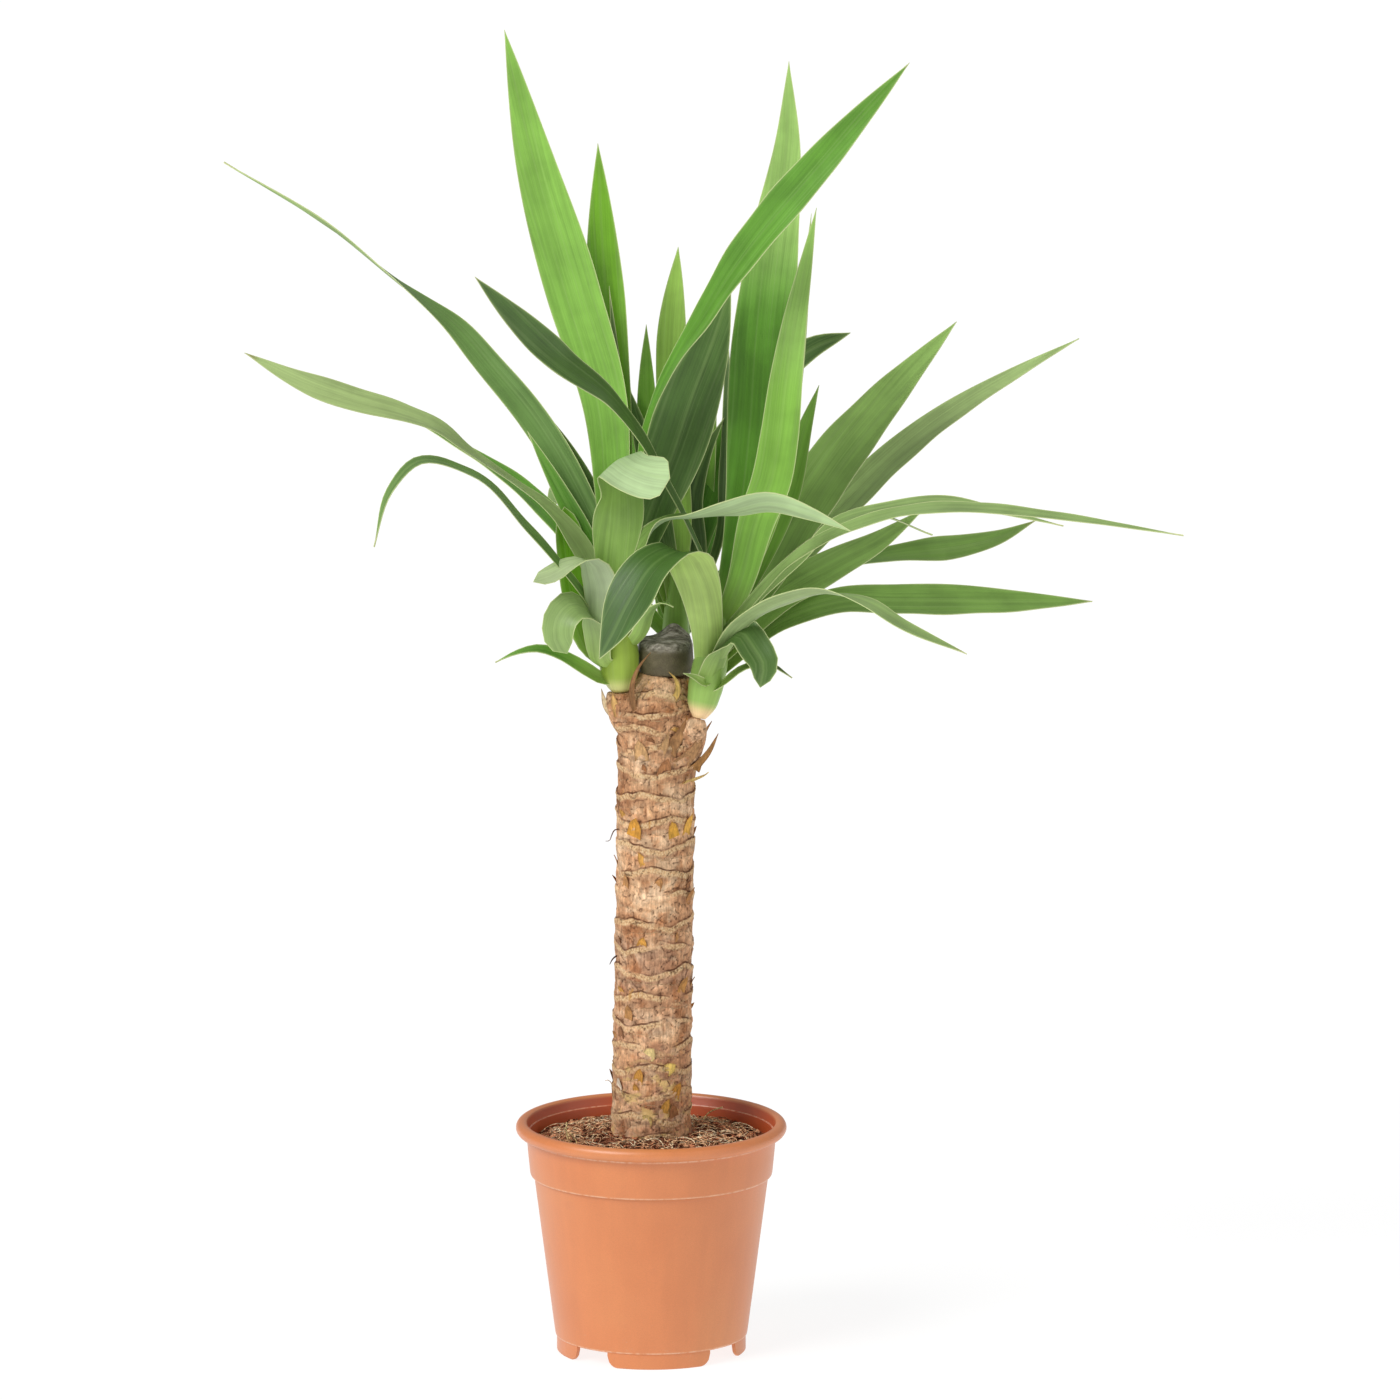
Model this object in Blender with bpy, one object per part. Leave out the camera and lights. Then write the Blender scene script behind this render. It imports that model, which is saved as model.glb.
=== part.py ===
"""Potted yucca: a cut cane with three leafy shoots, standing in a round nursery pot.

The pot stands on four feet at z = 0. The front is -Y and the left is -X. The tables and sizes below
are in millimetres from the pot's axis, and the meshes are made in metres.
"""
import math
import random

import bmesh
import bpy
import numpy as np
from mathutils import Vector

MM = 0.001
GAP = 0.3                      # between pieces that touch
POT_AXIS = (-29.0, 0.0)        # from the middle of the whole plant's footprint

# Pot: a turned shell with a rolled rim, a wide collar and four foot tabs under the wall.
POT_SEGMENTS = 48
POT_OUTSIDE = [(0, 9.6), (54, 9.6), (58.8, 9.6), (60.2, 10.6), (60.7, 12.6),
               (73.6, 112), (76, 113.6), (78.4, 137.4)]
POT_INSIDE = [(77.6, 144.6), (77.3, 139.8), (76.2, 138.8), (74.2, 114.4), (71.8, 112.6),
              (59, 14), (56.5, 12), (0, 12)]
BEAD_CENTRE = (80.8, 142.6)
BEAD_RADIUS = 4.2
BEAD_ARC = (-115, 125)         # degrees, from under the rim round to its inner top
BEAD_STEPS = 7
FOOT_COUNT = 4
FOOT_TURN = -84.5              # degrees, the front foot's middle
FOOT_HALF_ANGLE = 33.0
FOOT_OUTER_RADIUS = 59.4
FOOT_THICKNESS = 2.4
FOOT_TOP = 11.0                # sunk into the floor
FOOT_CORNER = 7.0
FOOT_STEPS = 13
DRAIN_COUNT = 6
DRAIN_RADIUS = 4.5
DRAIN_RING = 38.0
DRAIN_SIDES = 10
DRAIN_REACH = 3.0              # of its cutter, past both faces of the floor

# Soil: fills the pot to just under the rim, with a plain hole for the cane.
SOIL_CLEARANCE = 0.4           # moved in and up from the pot's inside
SOIL_TOP_AT_WALL = 132.0
SOIL_TOP_AT_CANE = 139.5
SOIL_RINGS = 6
SOIL_SLOPE = 0.7               # under 1, the heap is steeper at the wall
SOIL_ROUGHNESS = 1.6
SOIL_SEED = 11
HOLE_RADIUS = 25.4
HOLE_BOTTOM = 51.7

# Cane: a trunk with the scars of old leaves as stacked collars.
CANE_SIDES = 28
CANE_BOTTOM = 52.0
CANE_PLAIN_TOP = 142.0
CANE_LEAN = [(52, 0), (140, 0), (390, 3.5), (434, 9)]            # height, sideways place
CANE_GIRTH = [(52, 24.9), (142, 24.9), (220, 24.2), (300, 24.0), (390, 24.2), (404, 24.8),
              (414, 24.8), (420, 23.2), (427, 20.5), (434, 17.2)]                 # height, radius
SCAR_HEIGHTS = [155, 170, 186, 200, 215, 232, 248, 264, 279, 296, 312, 328, 344, 360, 376, 391]
SCAR_CREST = 1.1               # how far a collar stands out at its upper edge
SCAR_DROP = 0.8                # how far the cane draws in just above it
SCAR_STEP = 1.6                # height between the two
SCAR_MIDDLE = 0.1              # how far it stands out halfway to the next scar
SCAR_WAVE = 3.0
SCAR_LOBES = 3
SCAR_TWIST = 0.38              # of a lobe, from one scar to the next
NECK_HEIGHTS = [402, 414, 420, 427, 434]

# Wax on the cut top.
WAX_SIDES = 24
WAX_CENTRE = (9, 0)
WAX_OUTLINE = [(0, 434.3), (16.4, 434.3), (17.3, 437), (17.3, 447), (16.9, 452.5), (15.2, 455.2),
               (8, 455.7), (0, 455.8)]
WAX_SHOULDER = 447             # the bump shows only above this height
WAX_BUMP = (5.5, 7, 8.5)       # sideways, back, height
WAX_BUMP_RADIUS = 8.0

# Shoots: where each stands on the cane, its axis, and its radii up that axis.
SHOOT_SIDES = 12
SEAT_NECK = 4.0                # length of the last flare under a shoot
SEAT_FLARE = 2.0
SHOOTS = {
    "left": {
        "base": (-19, -10, 424), "top": (-22, -8, 486),
        "girth": [(0, 5.4), (3, 8.2), (7, 10.2), (12, 12), (22, 12.8), (34, 11.6), (62, 5.5)],
        "boss": [(-4, -2, 396, 13.5), (-14, -7, 410, 12.8)], "seat_radius": 8.5,
    },
    "right": {
        "base": (30, -25, 410), "top": (44, -15, 476),
        "girth": [(0, 4), (4, 7), (9, 9.4), (20, 11), (34, 11), (68, 6)],
        "boss": [(16, -9, 380, 13), (24, -15, 394, 10.5)], "seat_radius": 4.5,
    },
    "back": {
        "base": (15, 28, 424), "top": (16, 34, 490),
        "girth": [(0, 7), (6, 9), (20, 9.4), (40, 8), (66, 5)],
        "boss": [(11, 8, 396, 13), (14, 20, 410, 11)], "seat_radius": 8.0,
    },
}

# Blades: V-channelled strips, thick enough to be solid.
EDGE_THICKNESS = 0.9
MIDDLE_THICKNESS = 1.3
CHANNEL = 0.16                 # how far the edges rise, as a share of the half width
TIP_WIDTH = 1.4
TAPER = 1.7
BLUNT_TAPER = 2.6
ROUND_END = 0.4                # rounding of a blunt blade's end, as a share of its length
BLADE_STATIONS = 12
SHORT_BLADE_POINTS = 4         # a blade with no more points than this is a short one
SHORT_BLADE_STATIONS = 9
BRACT_STATIONS = 6
CURVE_SAMPLES = 40             # for each point, before even spacing

# The way a blade's upper side looks.
FRONT = (0, -1, 0.2)
UP = (0, -0.1, 1)
EDGE_ON = (-1, -0.2, 0.3)

# Each blade: name, height of its root up the shoot, the points that its middle runs through, its
# width at the root, its full width and where that is reached, the ways its upper side looks from
# root to tip, and, for a blade with a blunt end, the share of the width that is left there.
LEFT_BLADES = [
    ("tall_light", 44, [(-24, 0, 543), (-28, 3, 600), (-49, 8, 676), (-71, 12, 752), (-91, 18, 838)],
     (16, 34, 0.58), [FRONT]),
    ("behind_tall", 46, [(-21, 8, 574), (-26, 16, 642), (-30, 20, 699), (-33, 26, 765)],
     (12, 24, 0.66), [FRONT]),
    ("far_left", 34, [(-32, 0, 520), (-40, 3, 537), (-54, 8, 563), (-75, 18, 594), (-99, 29, 621),
                      (-124, 42, 647), (-156, 58, 669), (-201, 84, 701), (-268, 110, 738)],
     (9, 19, 0.32), [FRONT, FRONT, FRONT, (0, -0.7, 0.6), (0.5, 0.1, 0.8), (0.4, 0.5, 0.7),
                     (0.4, 0.5, 0.7)]),
    ("behind_far_left", 36, [(-29, 8, 504), (-38, 14, 545), (-50, 18, 570), (-63, 22, 592)],
     (8, 14, 0.5), [FRONT]),
    ("sliver_left", 30, [(-38, -6, 514), (-57, -4, 551), (-77, -2, 588)], (8, 13, 0.5), [FRONT]),
    ("mid_left", 30, [(-44, -18, 518), (-63, -29, 543), (-83, -42, 561), (-113, -60, 586),
                      (-132, -70, 603), (-151, -80, 613), (-183, -95, 625), (-220, -111, 642),
                      (-250, -122, 660)],
     (12, 19, 0.75), [FRONT, FRONT, (0, -0.5, 0.9), (0, -0.3, 1), (0, -0.4, 0.9), (0, -0.6, 0.8),
                      (0, -0.9, 0.5), (0, -0.8, 0.6)]),
    ("drooping_left", 24, [(-43, -24, 489), (-76, -48, 534), (-113, -72, 575), (-146, -88, 584),
                           (-161, -96, 568), (-171, -102, 534)],
     (7, 14, 0.6), [(0.7, -0.4, 0.6), (0.4, -0.5, 0.9), (0, -0.3, 1), (-0.9, -0.5, 0.5)]),
    ("folded_front", 40, [(-24, -26, 500), (-21, -34, 538), (-21, -42, 568), (-21, -51, 579),
                          (-13, -62, 576), (-1, -71, 573), (12, -79, 573)],
     (7, 34, 0.55), [(-0.6, -0.8, 0.1), FRONT, FRONT, (0.5, -0.2, -0.9), (0, 0.7, -0.7),
                     (0, 0.9, -0.4)], 0.8),
    ("curl_left", 26, [(-31, -24, 459), (-31, -28, 480), (-33, -32, 500), (-39, -36, 512),
                       (-50, -40, 510), (-62, -44, 504), (-73, -47, 501)],
     (13, 23, 0.55), [(0.3, 1, 0.2), (0.3, 1, 0.3), (0, 0.2, 1), (-0.1, -0.6, 0.8)], 0.65),
    ("low_curl_left", 16, [(-31, -22, 443), (-35, -28, 465), (-41, -36, 481), (-49, -43, 484),
                           (-56, -48, 477), (-57, -50, 466), (-52, -49, 456)],
     (12, 23, 0.6), [(0.4, 0.8, 0.3), (0.3, 0.7, 0.6), (-0.1, -0.4, 1), (-0.2, -0.9, 0.4),
                     (-0.2, -1, 0.1)], 0.65),
    ("broad_left", 14, [(-39, -12, 455), (-46, -12, 484), (-50, -10, 514), (-54, -8, 541)],
     (13, 20, 0.6), [(0.3, -1, 0.2)], 0.6),
    ("low_thin_left", 8, [(-31, -14, 432), (-41, -18, 439), (-51, -20, 446), (-60, -23, 451),
                          (-71, -25, 454), (-83, -26, 452), (-97, -28, 446)],
     (8, 11, 0.3), [(0.5, -0.7, 0.6), (0.3, -0.6, 0.8), (0, -0.4, 1)]),
    ("reaching_right", 40, [(-7, -34, 522), (9, -48, 540), (27, -64, 545), (49, -80, 552),
                            (74, -94, 560), (99, -104, 555), (124, -112, 546)],
     (10, 20, 0.6), [(-0.2, -1, 0.3), (0, -0.8, 0.6), (0, 0.2, 1), (0, 0.9, 0.4), (0, 0.9, 0.2)]),
    ("tall_crossing", 46, [(-8, -14, 548), (-4, -15, 583), (4, -20, 611), (17, -26, 639),
                           (33, -32, 665), (51, -38, 696), (74, -44, 728), (99, -50, 759),
                           (128, -56, 794), (160, -62, 831)],
     (12, 25, 0.7), [EDGE_ON, EDGE_ON, EDGE_ON, (-0.7, -0.7, 0.2), (-0.4, -1, 0.2), FRONT]),
    ("dark_middle", 44, [(-3, 0, 531), (13, 2, 572), (25, 3, 607), (38, 5, 641), (50, 8, 676)],
     (15, 39, 0.58), [FRONT]),
    ("dark_sliver", 44, [(-19, 6, 560), (-21, 9, 620), (-26, 13, 677)], (7, 8, 0.5), [FRONT]),
    ("curl_by_wax", 22, [(-7, -20, 462), (-1, -24, 477), (8, -28, 484), (14, -32, 482)],
     (8, 11, 0.5), [(-0.2, 0.9, 0.3), (-0.2, 0.8, 0.6), (0, -0.2, 1)]),
    ("back_left", 30, [(-41, 30, 498), (-81, 86, 534), (-130, 140, 556), (-146, 160, 561)],
     (9, 18, 0.45), [(0.3, -0.5, 0.8), UP]),
    ("back_short", 34, [(-30, 30, 500), (-44, 65, 528), (-56, 100, 532), (-66, 140, 505)],
     (10, 20, 0.5), [(0.2, -0.9, 0.4), UP, (0, 0.3, 1)]),
]
RIGHT_BLADES = [
    ("tall_broad", 50, [(48, -6, 481), (59, 2, 530), (66, 10, 586), (70, 18, 642), (77, 26, 704),
                        (85, 34, 762), (86, 42, 814)],
     (16, 40, 0.46), [FRONT]),
    ("tall_front", 48, [(56, -24, 497), (66, -22, 535), (75, -20, 560), (80, -20, 588),
                       (84, -16, 622), (90, -12, 662), (96, -9, 693), (103, -6, 730)],
     (13, 25, 0.4), [FRONT]),
    ("behind_tall_front", 46, [(78, 4, 543), (88, 10, 605), (94, 16, 655), (100, 24, 721)],
     (9, 11, 0.5), [FRONT]),
    ("small_dark_tip", 44, [(52, 12, 500), (58, 40, 545), (80, 68, 609), (100, 78, 625),
                            (125, 84, 634)],
     (9, 17, 0.84), [(-0.3, -0.9, 0.4)]),
    ("short_upright", 42, [(84, 14, 541), (97, 24, 588), (105, 30, 611)], (8, 16, 0.6), [FRONT]),
    ("broad_dark", 36, [(71, 14, 490), (93, 40, 526), (118, 64, 559), (143, 86, 586),
                        (192, 122, 634)],
     (14, 37, 0.48), [(-0.4, -0.9, 0.3)]),
    ("behind_broad", 32, [(71, 22, 474), (93, 50, 498), (124, 84, 526), (156, 112, 552),
                          (187, 134, 572), (224, 151, 592), (270, 166, 615)],
     (12, 26, 0.5), [(-0.3, -0.6, 0.8)]),
    ("long_thin", 40, [(68, -40, 493), (92, -62, 521), (129, -86, 545), (166, -106, 558),
                       (202, -122, 562), (245, -138, 561), (328, -166, 554)],
     (10, 16, 0.4), [(-0.3, -0.6, 0.7), (-0.2, -0.3, 1), (0, -0.4, 1)]),
    ("behind_long", 38, [(68, -22, 486), (93, -30, 511), (114, -36, 535), (148, -44, 547),
                         (184, -52, 553), (212, -60, 549), (256, -70, 541)],
     (8, 13, 0.55), [(-0.3, -0.4, 0.9), (0, -0.4, 1)]),
    ("thin_dark", 34, [(72, -4, 492), (112, 6, 523), (139, 12, 531), (176, 22, 517)],
     (7, 9, 0.4), [UP]),
    ("under_broad", 30, [(87, 20, 482), (118, 40, 496), (143, 58, 506), (171, 75, 523)],
     (12, 25, 0.5), [(-0.3, -0.8, 0.5)]),
    ("low_back", 24, [(87, 60, 474), (148, 104, 487), (172, 121, 487), (198, 139, 487), (220, 152, 490),
                     (243, 165, 498)],
     (10, 17, 0.75), [(-0.1, -0.5, 1), (-0.1, -0.2, 1), (-0.1, 0, 1), (-0.1, -0.9, 0.5),
                      (-0.1, -0.9, 0.5)]),
    ("level_right", 22, [(81, 6, 465), (118, 18, 475), (156, 30, 473), (187, 40, 471),
                         (237, 57, 467), (277, 70, 465)],
     (12, 27, 0.62), [(0, -0.6, 0.85)]),
    ("drooping_front", 20, [(56, -50, 474), (81, -72, 493), (111, -98, 504), (133, -114, 501),
                            (154, -130, 491), (195, -158, 478)],
     (11, 20, 0.5), [(-0.3, 0.6, 0.7), (-0.3, 0.6, 0.7), (-0.2, 0.6, 0.8), (0.1, -0.2, 1),
                     (0.1, -0.6, 0.8)]),
    ("dark_flap", 10, [(40, -34, 445), (48, -40, 463), (56, -46, 469), (65, -51, 459),
                       (70, -56, 451), (68, -57, 436)],
     (13, 22, 0.6), [(-0.3, 0.8, 0.4), (-0.1, 0.4, 1), (0.2, -0.5, 0.9), (0.2, -1, 0.3), (0.1, -1, 0)],
     0.55),
    ("torn_flap", 24, [(33, -34, 434), (27, -37, 438.5), (20, -37, 441)], (6, 6, 0.4), [(0, -0.8, 0.6)]),
    ("low_thin_right", 12, [(44, -30, 431), (59, -34, 444), (73, -38, 447), (88, -42, 439)],
     (6, 8, 0.4), [(0, -0.4, 1)]),
    ("hanging_front", 24, [(34, -40, 476), (27, -54, 507), (18, -62, 523), (4, -70, 518),
                           (-12, -76, 497), (-24, -80, 474), (-32, -82, 459)],
     (16, 36, 0.7), [(0.1, 0.9, 0.2), (0, 0.9, 0.4), (-0.2, 0, 1), (-0.4, -0.8, 0.6),
                     (-0.4, -0.9, 0.2)]),
    ("crossing_left", 44, [(38, -30, 493), (24, -32, 531), (9, -34, 561), (-7, -40, 591),
                           (-24, -53, 616), (-57, -79, 648), (-85, -104, 680), (-108, -124, 708)],
     (9, 22, 0.72), [(0.8, -0.1, 0.5), (0.8, -0.1, 0.5), (0.8, -0.2, 0.5), (0.8, -0.3, 0.5),
                     (0.2, -0.9, 0.4), FRONT]),
    ("back_right", 34, [(56, 20, 490), (72, 60, 528), (84, 105, 540), (96, 150, 515)],
     (10, 21, 0.5), [(-0.2, -0.9, 0.4), UP, (0, 0.3, 1)]),
]
BACK_BLADES = [
    ("backlit", 46, [(19, 36, 523), (13, 42, 586), (13, 48, 642), (17, 56, 694)],
     (11, 19, 0.72), [FRONT]),
    ("backlit_small", 44, [(9, 40, 535), (-2, 46, 585), (-3, 50, 616), (-3, 54, 645)],
     (8, 13, 0.66), [FRONT]),
    ("dark_leaning_left", 40, [(11, 32, 499), (2, 36, 543), (-7, 40, 580), (-19, 44, 617)],
     (9, 15, 0.5), [FRONT]),
    ("narrow_dark", 40, [(30, 34, 480), (43, 38, 511), (46, 40, 549), (48, 44, 620), (46, 48, 659)],
     (7, 10, 0.5), [(-0.8, -0.6, 0.1)]),
    ("dark_glossy", 36, [(28, 38, 498), (26, 38, 537), (34, 40, 565), (46, 44, 588)],
     (9, 14, 0.5), [FRONT]),
    ("small_bright", 34, [(30, 46, 500), (35, 50, 540), (41, 54, 590)], (8, 10, 0.5), [FRONT]),
    ("straight_back", 34, [(16, 60, 500), (18, 100, 528), (20, 140, 523), (22, 168, 500)],
     (11, 25, 0.5), [(0, -0.9, 0.4), UP, (0, 0.4, 1)]),
    ("back_by_left", 30, [(0, 55, 495), (-18, 95, 515), (-34, 133, 516), (-45, 167, 496)],
     (10, 22, 0.5), [(0.1, -0.8, 0.5), UP, (0, 0.3, 1)]),
    ("back_by_right", 30, [(30, 55, 495), (46, 95, 520), (60, 133, 521), (71, 167, 501)],
     (10, 22, 0.5), [(-0.1, -0.8, 0.5), UP, (0, 0.3, 1)]),
    ("low_middle", 18, [(12, 50, 455), (10, 95, 470), (8, 140, 455), (6, 166, 428)],
     (10, 20, 0.5), [(0, -0.7, 0.7), UP, (0, 0.5, 0.9)]),
    ("low_right", 20, [(28, 50, 460), (52, 85, 480), (78, 120, 478), (100, 160, 448)],
     (10, 19, 0.5), [(-0.2, -0.6, 0.7), UP, (0.1, 0.4, 1)]),
    ("low_left", 20, [(-2, 50, 460), (-20, 85, 480), (-38, 120, 478), (-50, 155, 458)],
     (10, 18, 0.5), [(0.2, -0.6, 0.7), UP, (-0.1, 0.4, 1)]),
    ("upright_middle", 42, [(20, 44, 540), (30, 60, 600), (36, 74, 640)], (11, 20, 0.5), [FRONT]),
    ("upright_right", 44, [(40, 50, 540), (61, 74, 600), (68, 96, 660), (73, 118, 710)],
     (12, 22, 0.5), [FRONT]),
    ("upright_left", 42, [(-8, 46, 530), (-22, 62, 600), (-28, 78, 660), (-32, 92, 700)],
     (11, 20, 0.5), [FRONT]),
]

# Dry bracts and torn bark that stand off the cane: points, widths, and the way each looks.
BRACTS = [
    ([(16, -14, 364), (21, -17, 377), (28, -17, 391), (38, -15, 406)], (13, 9, 0.2), [(1, -1, 0)]),
    ([(-6, -12, 388), (-13, -14, 401), (-20, -13, 412), (-26, -12, 420)], (12, 8, 0.2),
     [(-1, -1, 0.2)]),
    ([(-6, -16, 404), (-12, -21, 424), (-11, -23, 434), (-7, -23, 443), (0, -21, 451)], (6, 4, 0.2),
     [(0, -1, 0)]),
    ([(14, -16, 364), (26, -18, 369), (35, -18, 373)], (4, 3, 0.3), [(0, -0.3, 1)]),
    ([(-14, -12, 318), (-25, -14, 327), (-29, -15, 334)], (4, 3, 0.3), [(-1, -0.5, 0.2)]),
]


def clear_scene():
    for thing in list(bpy.data.objects):
        bpy.data.objects.remove(thing, do_unlink=True)


def linear(hex_colour):
    """Blender's linear colour for a screen colour such as c9a987."""
    values = [int(hex_colour[i:i + 2], 16) / 255 for i in (0, 2, 4)]
    return [v / 12.92 if v <= 0.04045 else ((v + 0.055) / 1.055) ** 2.4 for v in values] + [1.0]


def material(name, hex_colour, roughness):
    made = bpy.data.materials.new(name)
    made.use_nodes = True
    shader = made.node_tree.nodes["Principled BSDF"]
    shader.inputs["Base Color"].default_value = linear(hex_colour)
    shader.inputs["Roughness"].default_value = roughness
    return made


def pot_plastic():
    return material("pot_plastic", "dd8050", roughness=0.5)


def potting_soil():
    return material("potting_soil", "4a2f22", roughness=0.95)


def cane_bark():
    return material("cane_bark", "a8805f", roughness=0.85)


def grey_wax():
    return material("grey_wax", "6d675e", roughness=0.55)


def yucca_leaf():
    return material("yucca_leaf", "4d7a3a", roughness=0.45)


def add_object(name, vertices, faces):
    """A new object whose mesh has its faces pointing out, from points in millimetres."""
    mesh = bpy.data.meshes.new(name)
    mesh.from_pydata([Vector(v) * MM for v in vertices], [], faces)
    shell = bmesh.new()
    shell.from_mesh(mesh)
    bmesh.ops.recalc_face_normals(shell, faces=shell.faces)
    shell.to_mesh(mesh)
    shell.free()
    thing = bpy.data.objects.new(name, mesh)
    bpy.context.scene.collection.objects.link(thing)
    return thing


def finish(thing, finish_material, sharp_degrees):
    """Gives an object its one material and smooth shading between its sharp edges."""
    thing.data.materials.clear()
    thing.data.materials.append(finish_material)
    thing.data.shade_smooth()
    thing.data.set_sharp_from_angle(angle=math.radians(sharp_degrees))
    return thing


def between(table, place):
    """Reads a table of pairs at a place between its first values."""
    return float(np.interp(place, [row[0] for row in table], [row[1] for row in table]))


def apply_modifiers(thing):
    graph = bpy.context.evaluated_depsgraph_get()
    mesh = bpy.data.meshes.new_from_object(thing.evaluated_get(graph))
    thing.modifiers.clear()
    thing.data = mesh


def keep_outer_body(thing):
    """Drops sealed hollows and loose scraps, and keeps the body with the largest reach."""
    shell = bmesh.new()
    shell.from_mesh(thing.data)
    unseen = set(shell.faces)
    bodies = []
    while unseen:
        body = {unseen.pop()}
        edge_of_body = list(body)
        while edge_of_body:
            face = edge_of_body.pop()
            near = {other for edge in face.edges for other in edge.link_faces} & unseen
            unseen -= near
            body |= near
            edge_of_body += near
        bodies.append(body)

    def reach(body):
        points = np.array([v.co for face in body for v in face.verts])
        return float(np.ptp(points, axis=0).sum())

    largest = max(bodies, key=reach)
    spare = [face for body in bodies if body is not largest for face in body]
    bmesh.ops.delete(shell, geom=spare, context="FACES")
    shell.to_mesh(thing.data)
    shell.free()


def fuse(base, pieces):
    """Joins pieces to a base in one Boolean union, and removes the pieces."""
    group = bpy.data.collections.new(base.name + "_pieces")
    for piece in pieces:
        group.objects.link(piece)
    union = base.modifiers.new("join", "BOOLEAN")
    union.operation = "UNION"
    union.solver = "EXACT"
    union.operand_type = "COLLECTION"
    union.collection = group
    apply_modifiers(base)
    for piece in pieces:
        bpy.data.objects.remove(piece, do_unlink=True)
    bpy.data.collections.remove(group)
    keep_outer_body(base)


def turned(name, outline, segments, centre=(0, 0), lift=None):
    """A solid turned round a vertical axis from an outline that starts and ends on it.

    lift, where it is given, adds to the height of each point of the ring with that number.
    """
    vertices = []
    rings = []
    for row, (radius, height) in enumerate(outline):
        count = segments if radius else 1
        rings.append(list(range(len(vertices), len(vertices) + count)))
        for step in range(count):
            angle = math.tau * step / segments
            extra = lift(row, step) if lift else 0.0
            vertices.append((centre[0] + radius * math.cos(angle),
                             centre[1] + radius * math.sin(angle), height + extra))
    faces = []
    for lower, upper in zip(rings, rings[1:]):
        for step in range(segments):
            after = (step + 1) % segments
            corners = [lower[step % len(lower)], lower[after % len(lower)],
                       upper[after % len(upper)], upper[step % len(upper)]]
            faces.append(list(dict.fromkeys(corners)))
    return add_object(name, vertices, faces)


def rod(name, stations, sides):
    """A round solid through stations (x, y, z, radius), square to its path, with flat ends."""
    points = np.array([station[:3] for station in stations], float)
    last = len(points) - 1
    vertices = []
    for i, station in enumerate(stations):
        along = Vector(points[min(i + 1, last)] - points[max(i - 1, 0)]).normalized()
        across = along.cross(Vector((0, 1, 0))).normalized()
        other = along.cross(across)
        for step in range(sides):
            angle = math.tau * step / sides
            out = across * math.cos(angle) + other * math.sin(angle)
            vertices.append(Vector(points[i]) + out * station[3])
    faces = [list(range(sides)), list(range(last * sides, (last + 1) * sides))]
    for row in range(last):
        for step in range(sides):
            after = (step + 1) % sides
            faces.append([row * sides + step, row * sides + after,
                          (row + 1) * sides + after, (row + 1) * sides + step])
    return add_object(name, vertices, faces)


def smooth_line(points, count):
    """Evenly spaced points on a smooth curve through the given ones."""
    points = np.array(points, float)
    steps = np.linalg.norm(np.diff(points, axis=0), axis=1)
    knots = np.concatenate([[0], np.cumsum(steps)])
    slopes = np.gradient(points, knots, axis=0)
    places = np.linspace(0, knots[-1], CURVE_SAMPLES * len(points))
    piece = np.clip(np.searchsorted(knots, places, side="right") - 1, 0, len(steps) - 1)
    span = steps[piece][:, None]
    u = (places[:, None] - knots[piece][:, None]) / span
    curve = ((2 * u**3 - 3 * u**2 + 1) * points[piece] + (u**3 - 2 * u**2 + u) * span * slopes[piece]
             + (3 * u**2 - 2 * u**3) * points[piece + 1] + (u**3 - u**2) * span * slopes[piece + 1])
    run = np.concatenate([[0], np.cumsum(np.linalg.norm(np.diff(curve, axis=0), axis=1))])
    even = np.linspace(0, run[-1], count)
    return np.stack([np.interp(even, run, curve[:, axis]) for axis in range(3)], axis=1)


def blade_width(place, widths, blunt):
    """The width of a blade at a place from 0 at its root to 1 at its tip."""
    root, full, widest = widths
    if place < widest:
        share = place / widest
        return root + (full - root) * share * share * (3 - 2 * share)
    share = (place - widest) / (1 - widest)
    if blunt:
        rounding = ROUND_END * (1 - blunt)   # shorter where more of the width is left
        into_end = max(place - 1 + rounding, 0) / rounding
        full *= 1 - (1 - blunt) * share ** BLUNT_TAPER
        return max(full * math.sqrt(max(1 - into_end**2, 0)), TIP_WIDTH)
    return max(full * (1 - share ** TAPER), TIP_WIDTH)


def blade_frames(points, looks, count):
    """The middle line of a blade, with its sideways and upward directions at each place."""
    line = smooth_line(points, count)
    along = np.gradient(line, axis=0)
    along /= np.linalg.norm(along, axis=1, keepdims=True)
    looks = np.array(looks, float)
    looks /= np.linalg.norm(looks, axis=1, keepdims=True)
    places = np.linspace(0, len(looks) - 1, count)
    ways = np.stack([np.interp(places, range(len(looks)), looks[:, axis]) for axis in range(3)], axis=1)
    ways -= along * np.sum(ways * along, axis=1, keepdims=True)
    ways /= np.linalg.norm(ways, axis=1, keepdims=True)
    return line, np.cross(along, ways), ways


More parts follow.
